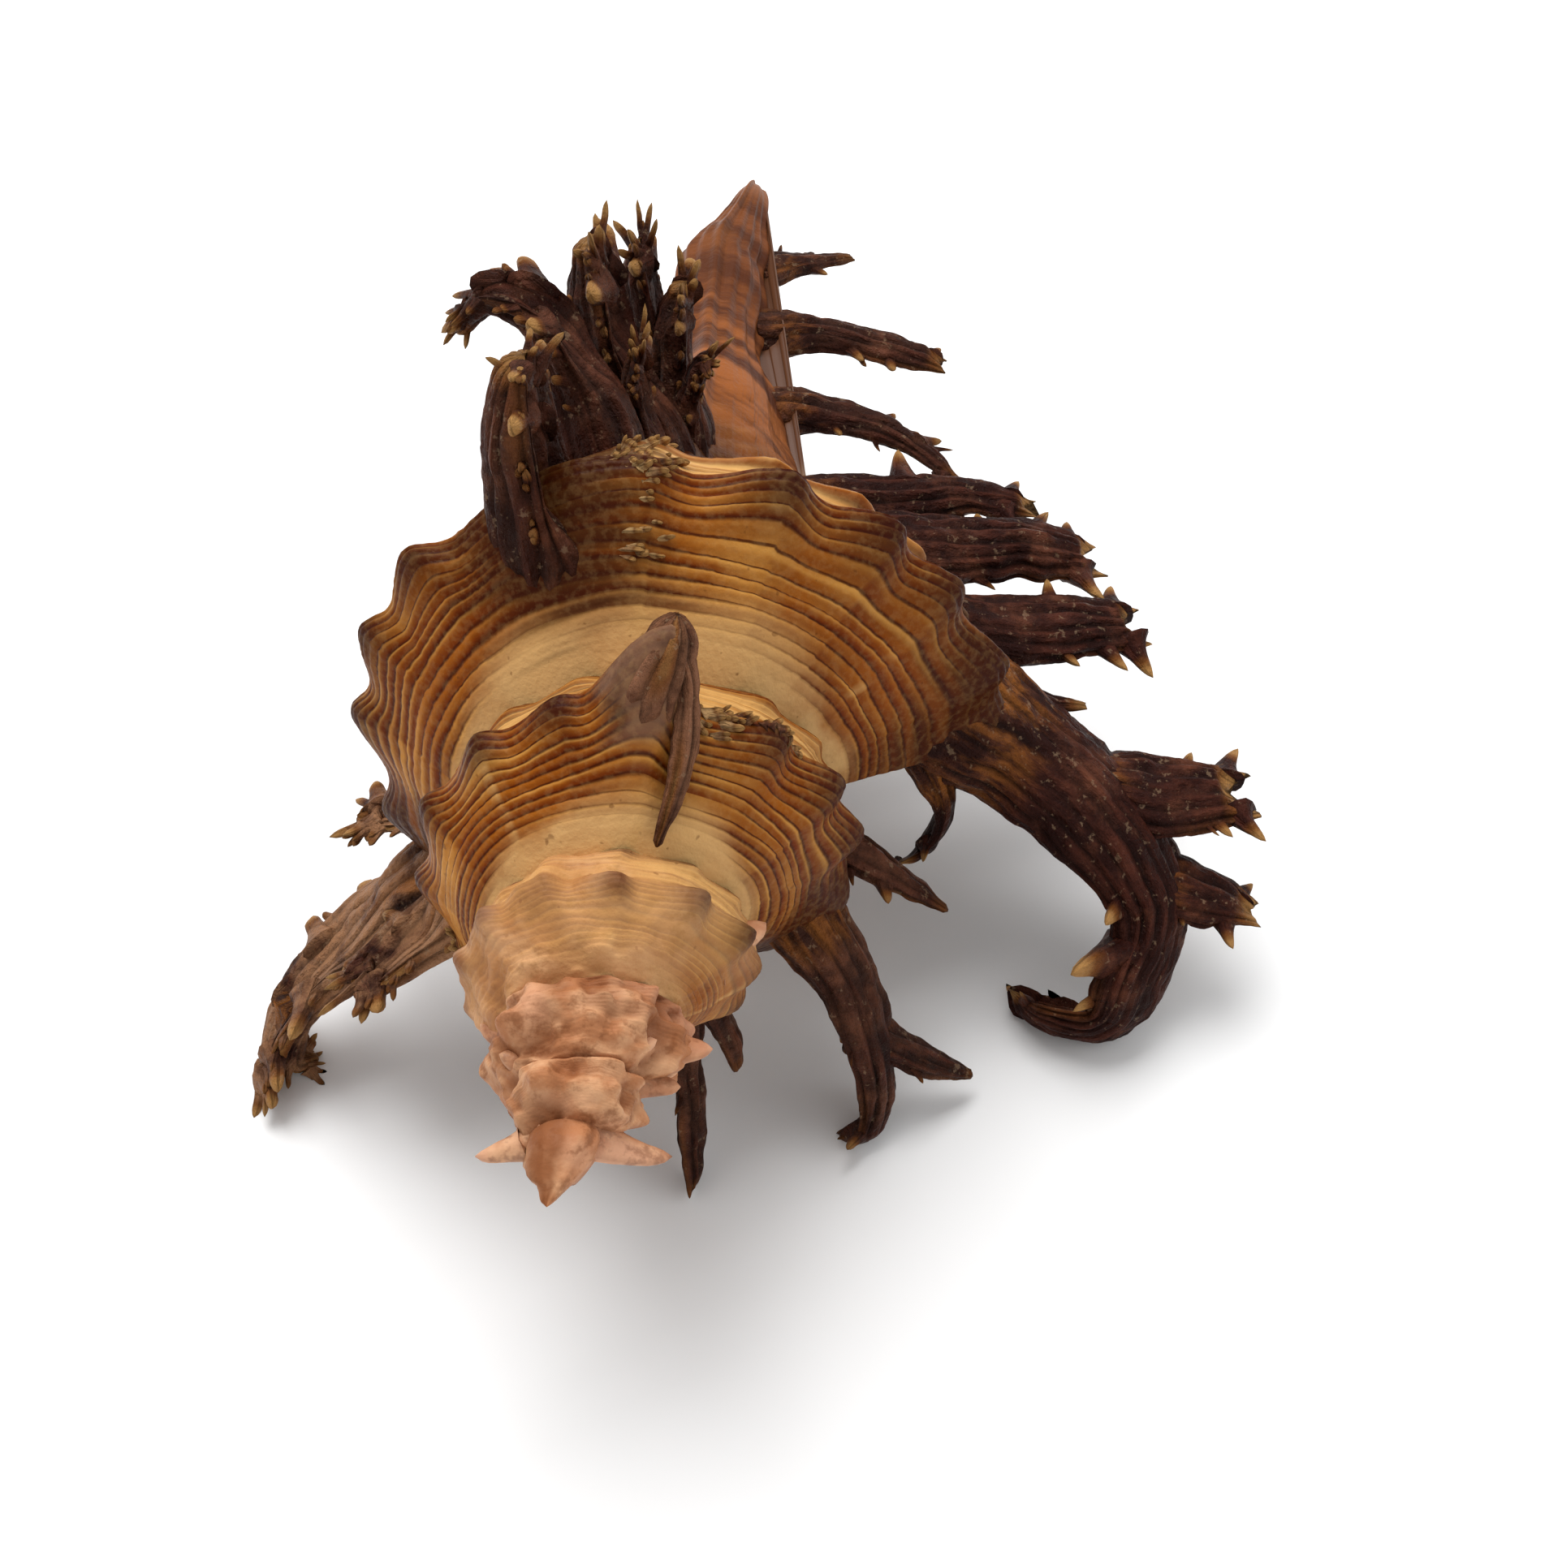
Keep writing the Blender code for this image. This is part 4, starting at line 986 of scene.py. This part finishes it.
def painted_lime(look):
    """Shell lime laid down coat by coat by the mantle, unpolished.

    The eye sees satin gold and cream with fine brown spiral lines, dark at nodes and varices, and dull
    crust at the apex."""
    material, tree, shader, place = start_material("painted_shell_lime")
    mark = read_marks(tree, (
        "line", "turn", "along", "ramp", "bare", "lined", "faint", "fresh", "stop", "painted_side_shade", "crest",
        "scoop", "spur", "painted_foot_shade", "crust",
    ))
    # Streaks follow the cords: nine units to a turn and one to a cord.
    turned = add_node(tree, "ShaderNodeMath", {0: mark["turn"], 1: 9.0}, operation="MULTIPLY")
    flow = add_node(tree, "ShaderNodeCombineXYZ", {"X": turned, "Y": mark["line"]})
    grain = grow_grains(tree, {
        "cloud": (place, per_metre(7.69), 4.0, 0.55),
        "spur_cloud": (place, per_metre(3.33), 4.0, 0.55),
        "dust": (place, per_metre(0.4545), 3.0, 0.55),
        "dots": (place, per_metre(0.667), 1.0, 0.55),
        "relief": (place, per_metre(0.4167), 3.0, 0.55),
        "runs": (flow, 0.6, 4.0, 0.55),
        "warm": (flow, 0.4, 4.0, 0.55),
        "wander": (flow, 1.1, 3.0, 0.55),
        "streaks": (flow, 0.6, 3.0, 0.55),
        "strength": (flow, 0.4, 3.0, 0.55),
        "width": (flow, 0.5, 2.0, 0.55),
        "breaks": (flow, 0.5, 3.0, 0.55),
        "flank": (flow, 0.8, 3.0, 0.55),
    })
    # Clouded gold and cream, then brown after each growth stop, orange brown clouds, and painted shade on
    # the side of each whorl towards the lip, which faces right in the camera's view.
    colour = coat(tree, look.gold, look.cream, 1.0, (grain["cloud"], 0.4, 0.66))
    colour = coat(tree, colour, "#642a06", 0.8, mark["bare"], mark["fresh"], (grain["runs"], 0.36, 0.62))
    colour = coat(tree, colour, "#8a4913", 0.6, mark["bare"], (grain["warm"], 0.42, 0.62))
    # Painted shade on the lip side of each whorl.
    colour = coat(tree, colour, "#6a3008", 0.6, mark["bare"], mark["painted_side_shade"], (grain["cloud"], 0.3, 0.6))
    # The smooth ramp under the suture is almost plain cream, and some growth stops have a pale line.
    colour = coat(tree, colour, "#dcb277", 0.8, mark["ramp"], (grain["cloud"], 0.25, 0.5))
    colour = coat(tree, colour, "#d0a466", 0.6, mark["stop"])
    colour = cord_colours(tree, colour, mark, grain, look.line)
    # The older whorls are paler.
    colour = coat(tree, colour, "#dcae74", 0.7, mark["faint"], (grain["cloud"], 0.3, 0.6))
    # Pale scoops beyond the nodes, and dark crests of nodes and varices.
    colour = coat(tree, colour, "#dcaa66", 0.85, mark["scoop"], (grain["breaks"], 0.34, 0.6))
    colour = coat(tree, colour, look.brown, 0.95, mark["crest"], (grain["breaks"], 0.22, 0.42))
    # The flank of the tall spine turns grey brown, with gold left in streaks.
    flank = {0: grain["flank"], 1: 0.5, 2: mark["spur"]}
    flank = add_node(tree, "ShaderNodeMath", flank, operation="MULTIPLY_ADD")
    flank_colour = coat(tree, "#4a3226", "#755440", 1.0, (grain["spur_cloud"], 0.4, 0.6))
    colour = coat(tree, colour, flank_colour, 0.9, (flank, 0.41, 0.75))
    # Painted shade: round the fronds' feet the wall is darkened to near-black, in streaks.
    foot_shade_mask = {0: grain["streaks"], 1: 1.2, 2: mark["painted_foot_shade"]}
    foot_shade_mask = add_node(tree, "ShaderNodeMath", foot_shade_mask, operation="MULTIPLY_ADD")
    colour = coat(tree, colour, "#381406", 0.92, (foot_shade_mask, 0.8, 1.3))
    # Very fine speckle, as if dusted, and a few brown dots.
    colour = coat(tree, colour, "#e2b878", 0.06, (grain["dust"], 0.42, 0.66))
    colour = coat(tree, colour, "#5a3010", 0.5, (grain["dots"], 0.72, 0.78))
    colour = canal_colours(tree, colour, mark)
    colour = coat(tree, colour, crust_colours(tree, place), 1.0, mark["crust"])
    finish_shader(tree, shader, colour, 0.38, 0.05, grain["relief"], 0.4, 0.2)
    return material


def frond_lime(look):
    """Shell lime grown in folded layers at the varices, and worn at its edges.

    The eye sees dull, near-black brown in ridges, with pale specks and tan ends."""
    material, tree, shader, place = start_material("dark_frond_lime")
    mark = read_marks(tree, ("foot", "end", "rib", "length", "groove", "tint"))
    stretched = add_node(tree, "ShaderNodeMath", {0: mark["length"], 1: 0.22}, operation="MULTIPLY")
    flow = add_node(tree, "ShaderNodeCombineXYZ", {"X": mark["rib"], "Y": stretched})
    grain = grow_grains(tree, {
        "streak": (flow, 1.2, 5.0, 0.6),
        "clouds": (place, per_metre(3.85), 5.0, 0.65),
        "specks": (place, per_metre(0.769), 3.0, 0.7),
        "relief": (place, per_metre(0.833), 4.0, 0.65),
    })
    colour = coat(tree, look.frond, "#462218", 1.0, (grain["streak"], 0.4, 0.66))
    colour = coat(tree, colour, "#744430", 0.55, (grain["clouds"], 0.48, 0.72))
    # Worn rows are paler, and the small scales of the growth edges palest.
    colour = coat(tree, colour, "#94664a", 0.8, mark["tint"], (grain["clouds"], 0.3, 0.62), most=0.9)
    colour = coat(tree, colour, "#c09a68", 1.0, (mark["tint"], 1.0, 2.0), (grain["clouds"], 0.36, 0.6))
    # Near the whorl gold and rust show between the dark streaks.
    root = {0: grain["streak"], 1: 1.2, 2: mark["foot"]}
    root = add_node(tree, "ShaderNodeMath", root, operation="MULTIPLY_ADD")
    root_colour = coat(tree, "#3c1c10", "#8f5520", 1.0, (grain["streak"], 0.42, 0.58))
    colour = coat(tree, colour, root_colour, 0.85, (root, 0.8, 1.4))
    # The last few millimetres turn rusty, then tan.
    ragged = {0: grain["clouds"], 1: 0.5, 2: mark["end"]}
    ragged = add_node(tree, "ShaderNodeMath", ragged, operation="MULTIPLY_ADD")
    colour = coat(tree, colour, "#76461f", 0.8, (ragged, 0.45, 0.85))
    colour = coat(tree, colour, look.tip, 0.9, (ragged, 0.75, 1.2))
    # Painted shade: the grooves between the frond's cords are darkened to near-black.
    colour = coat(tree, colour, "#120a08", 0.7, mark["groove"])
    colour = coat(tree, colour, "#a08468", 0.3, (grain["specks"], 0.6, 0.68))
    relief = {0: grain["streak"], 1: 1.5, 2: grain["relief"]}
    relief = add_node(tree, "ShaderNodeMath", relief, operation="MULTIPLY_ADD")
    finish_shader(tree, shader, colour, 0.45, 0.06, relief, 0.9, 0.6)
    return material


def stub_lime():
    """Old shell lime, worn round and grown over. The eye sees dull peach."""
    material, tree, shader, place = start_material("worn_stub_lime")
    relief = grow_grains(tree, {"relief": (place, per_metre(0.667), 3.0, 0.55)})["relief"]
    finish_shader(tree, shader, crust_colours(tree, place), 0.6, 0.5, relief, 0.4, 0.3)
    return material


def mouth_lime():
    """Porcelain shell lime, laid down smooth. The eye sees glossy cream that turns pinkish brown inside."""
    material, tree, shader, place = start_material("mouth_lime")
    inside = read_marks(tree, ["inside"])["inside"]
    along = add_node(tree, "ShaderNodeSeparateXYZ", {0: place}, "Y")
    canal_start, canal_deep = ((edge + APEX_Y) * MM for edge in (54.0, 62.0))
    colour = coat(tree, "#dcc3a0", "#b97c5c", 1.0, (inside, 0.1, 0.9))
    colour = coat(tree, colour, "#5a3824", 1.0, (along, canal_start, canal_deep))
    tree.links.new(colour, shader.inputs["Base Color"])
    shader.inputs["Roughness"].default_value = 0.22
    return material


def plain_floor():
    """A plain pale floor that only catches a soft shadow."""
    material, _, shader, _ = start_material("plain_floor")
    shader.inputs["Base Color"].default_value = linear("#f4f4f4")
    shader.inputs["Roughness"].default_value = 0.9
    return material


# Settings and operators


class MurexShape(bpy.types.PropertyGroup):
    """Sizes of the surface relief."""

    cords: IntProperty(
        name="Cords", description="Spiral cords from one suture to the next", default=25, min=4, max=60
    )
    cord_height: FloatProperty(
        name="Cord height", description="How far the cords stand up, in mm", default=0.17, min=0.0, max=1.0
    )
    frond_step: FloatProperty(
        name="Frond step", description="Spacing of a frond's rings, in mm", default=0.28, min=0.1, max=2.0
    )
    frill: FloatProperty(
        name="Frill", description="Share of the fronds' small spikes", default=1.0, min=0.0, max=3.0
    )


class MurexLook(bpy.types.PropertyGroup):
    """Colours of the shell lime, as hex sRGB."""

    gold: StringProperty(name="Gold", description="Main colour of the whorls", default="#985412")
    cream: StringProperty(name="Cream", description="Pale colour of the whorls", default="#cc8f42")
    brown: StringProperty(name="Brown", description="Blotches on nodes and varices", default="#34120a")
    line: StringProperty(name="Line", description="Spiral lines", default="#3c1202")
    frond: StringProperty(name="Frond", description="Main colour of the fronds", default="#260e09")
    tip: StringProperty(name="Tip", description="Frond tips", default="#b88a52")


def wall_material(context):
    """The whorls' material, made once."""
    return bpy.data.materials.get("painted_shell_lime") or painted_lime(context.scene.murex_look)


def frond_material(context):
    """The fronds' material, made once."""
    return bpy.data.materials.get("dark_frond_lime") or frond_lime(context.scene.murex_look)


def wall_part(points, values):
    """A grid of the wall as a part with its faces outwards."""
    return points, [face[::-1] for face in grid_faces(*points.shape[:2])], values


class MUREX_OT_body(bpy.types.Operator):
    """The last whorl with the canal"""

    bl_idname = "murex.body"
    bl_label = "Last whorl"

    def execute(self, context):
        shape = context.scene.murex_shape
        share = np.concatenate([np.linspace(0, 1, 151)[:-1], np.linspace(1, 2, 121)])
        grid = wall(np.linspace(0, 1, 361), share, shape.cords, shape.cord_height)
        make_piece("last_whorl", [wall_part(*close_end(*grid))], wall_material(context))
        return {"FINISHED"}


class MUREX_OT_spire(bpy.types.Operator):
    """The whorls of the spire, up to the apex"""

    bl_idname = "murex.spire"
    bl_label = "Spire"

    def execute(self, context):
        shape = context.scene.murex_shape
        turns = np.linspace(0.985, SPIRE_TURNS, 760)
        grid = wall(turns, np.linspace(0, 1, 115), shape.cords, shape.cord_height)
        knob, knob_values = apex_knob(SPIRE_TURNS, 90, 16)
        parts = [wall_part(*grid), (knob, grid_faces(*knob.shape[:2]), knob_values)]
        make_piece("spire", parts, wall_material(context))
        return {"FINISHED"}


class MUREX_OT_mouth(bpy.types.Operator):
    """The mouth and the hollow behind it"""

    bl_idname = "murex.mouth"
    bl_label = "Mouth"

    def execute(self, context):
        points, inside = mouth(60, 240)
        faces = grid_faces(*points.shape[:2], True)
        make_piece("mouth", [(points, faces, {"inside": inside})], mouth_lime())
        return {"FINISHED"}


class MUREX_OT_growth_edges(bpy.types.Operator):
    """The crusty scales along old growth edges"""

    bl_idname = "murex.growth_edges"
    bl_label = "Growth edges"

    def execute(self, context):
        make_piece("growth_edges", crusty_edge(GROWTH_EDGES, 5), frond_material(context))
        return {"FINISHED"}


def frond_operator(name, label, words, fronds, style, seed):
    """An operator class that makes one row of fronds."""

    def execute(self, context):
        shape = context.scene.murex_shape
        frilled = {**style, "frill": style["frill"] * shape.frill}
        make_piece(name, frond_row(fronds, frilled, shape.frond_step, seed), frond_material(context))
        return {"FINISHED"}

    body = {"bl_idname": "murex." + name, "bl_label": label, "__doc__": words, "execute": execute}
    return type("MUREX_OT_" + name, (bpy.types.Operator,), body)


FROND_OPERATORS = [
    frond_operator(*row)
    for row in (
        ("lip_fronds", "Lip fronds", "The fronds at the lip", LIP_FRONDS, LIP_STYLE, 10),
        ("canal_fronds", "Canal fronds", "The spines along the canal", CANAL_FRONDS, CANAL_STYLE, 30),
        ("back_fronds", "Back fronds", "The fronds on the back", BACK_FRONDS, BACK_STYLE, 50),
        ("left_fronds", "Left fronds", "The fronds on the left", LEFT_FRONDS, LEFT_STYLE, 70),
        ("old_fronds", "Old fronds", "The fronds of the whorl before", OLD_FRONDS, OLD_STYLE, 90),
        ("spire_fronds", "Spire spine", "The tall spine", SPIRE_FRONDS, SPINE_STYLE, 100),
    )
]


class MUREX_OT_stubs(bpy.types.Operator):
    """The worn stubs on the first whorls"""

    bl_idname = "murex.stubs"
    bl_label = "Spire stubs"

    def execute(self, context):
        make_piece("stubs", worn_stubs(STUBS, STUB_STYLE, 110), stub_lime())
        return {"FINISHED"}


# The photo's view, in degrees and mm, and soft light: (name, place in m, size in m, power in W).
CAMERA_TURN = math.radians(5.14)
CAMERA_RISE = math.radians(46.4)
CAMERA_AIM = (8.5, 29.5, 0.0)
CAMERA_DISTANCE = 106.1
CAMERA_LENS = 42.596
SENSOR_WIDTH = 36.0
NEAR_CLIP = 5.0 * MM
FLOOR_SIZE = 6.0
AIR_LIGHT = 0.62
LIGHTS = [
    ("top_light", (-0.1, 0.15, 0.5), 0.4, 2.8),
    ("right_light", (0.5, -0.1, 0.3), 0.4, 0.4),
]


def aim_at(obj, place, direction, axis):
    """Puts a lamp or camera at a place with one of its axes along a direction."""
    obj.location = place
    obj.rotation_mode = "QUATERNION"
    obj.rotation_quaternion = direction.to_track_quat(axis, "Y")
    bpy.context.scene.collection.objects.link(obj)


class MUREX_OT_stage(bpy.types.Operator):
    """The floor, the soft light and the camera"""

    bl_idname = "murex.stage"
    bl_label = "Stage"

    def execute(self, context):
        scene = context.scene
        bpy.ops.mesh.primitive_plane_add(size=FLOOR_SIZE, location=(0, 0, 0))
        floor = context.object
        floor.name = "floor"
        floor.data.materials.append(plain_floor())
        world = bpy.data.worlds.new("studio")
        world.use_nodes = True
        air = world.node_tree.nodes["Background"]
        air.inputs["Color"].default_value = (1, 1, 1, 1)
        air.inputs["Strength"].default_value = AIR_LIGHT
        scene.world = world
        for name, place, size, power in LIGHTS:
            data = bpy.data.lights.new(name, "AREA")
            data.size = size
            data.energy = power
            lamp = bpy.data.objects.new(name, data)
            aim_at(lamp, place, Vector(place), "Z")
        level = math.cos(CAMERA_RISE)
        sideways, ahead = math.sin(CAMERA_TURN) * level, math.cos(CAMERA_TURN) * level
        back = Vector((sideways, -ahead, math.sin(CAMERA_RISE)))
        aim = (Vector(CAMERA_AIM) + Vector((AXIS_X, APEX_Y, AXIS_HEIGHT))) * MM
        data = bpy.data.cameras.new("camera")
        data.lens = CAMERA_LENS
        data.sensor_width = SENSOR_WIDTH
        data.clip_start = NEAR_CLIP
        camera = bpy.data.objects.new("camera", data)
        aim_at(camera, aim + back * CAMERA_DISTANCE * MM, -back, "-Z")
        scene.camera = camera
        scene.view_settings.view_transform = "Standard"
        return {"FINISHED"}


class MUREX_PT_panel(bpy.types.Panel):
    """The shell's pieces and settings in the sidebar"""

    bl_label = "Murex shell"
    bl_idname = "MUREX_PT_panel"
    bl_space_type = "VIEW_3D"
    bl_region_type = "UI"
    bl_category = "Murex"

    def draw(self, context):
        for settings in (context.scene.murex_shape, context.scene.murex_look):
            for key in settings.__annotations__:
                self.layout.prop(settings, key)
        for operator in OPERATORS:
            self.layout.operator(operator.bl_idname)


OPERATORS = [
    MUREX_OT_body,
    MUREX_OT_spire,
    MUREX_OT_mouth,
    MUREX_OT_growth_edges,
    *FROND_OPERATORS,
    MUREX_OT_stubs,
    MUREX_OT_stage,
]
CLASSES = [MurexShape, MurexLook, *OPERATORS, MUREX_PT_panel]


def register():
    """Makes the classes and the scene's settings known."""
    for item in CLASSES:
        bpy.utils.register_class(item)
    bpy.types.Scene.murex_shape = PointerProperty(type=MurexShape)
    bpy.types.Scene.murex_look = PointerProperty(type=MurexLook)


def unregister():
    """Takes the settings and the classes away again."""
    del bpy.types.Scene.murex_look
    del bpy.types.Scene.murex_shape
    for item in reversed(CLASSES):
        bpy.utils.unregister_class(item)


def main():
    """Builds every piece and the stage, and writes the sizes of the solids and of what is seen."""
    register()
    for operator in OPERATORS:
        group, name = operator.bl_idname.split(".")
        getattr(getattr(bpy.ops, group), name)()


if __name__ == "__main__":
    main()
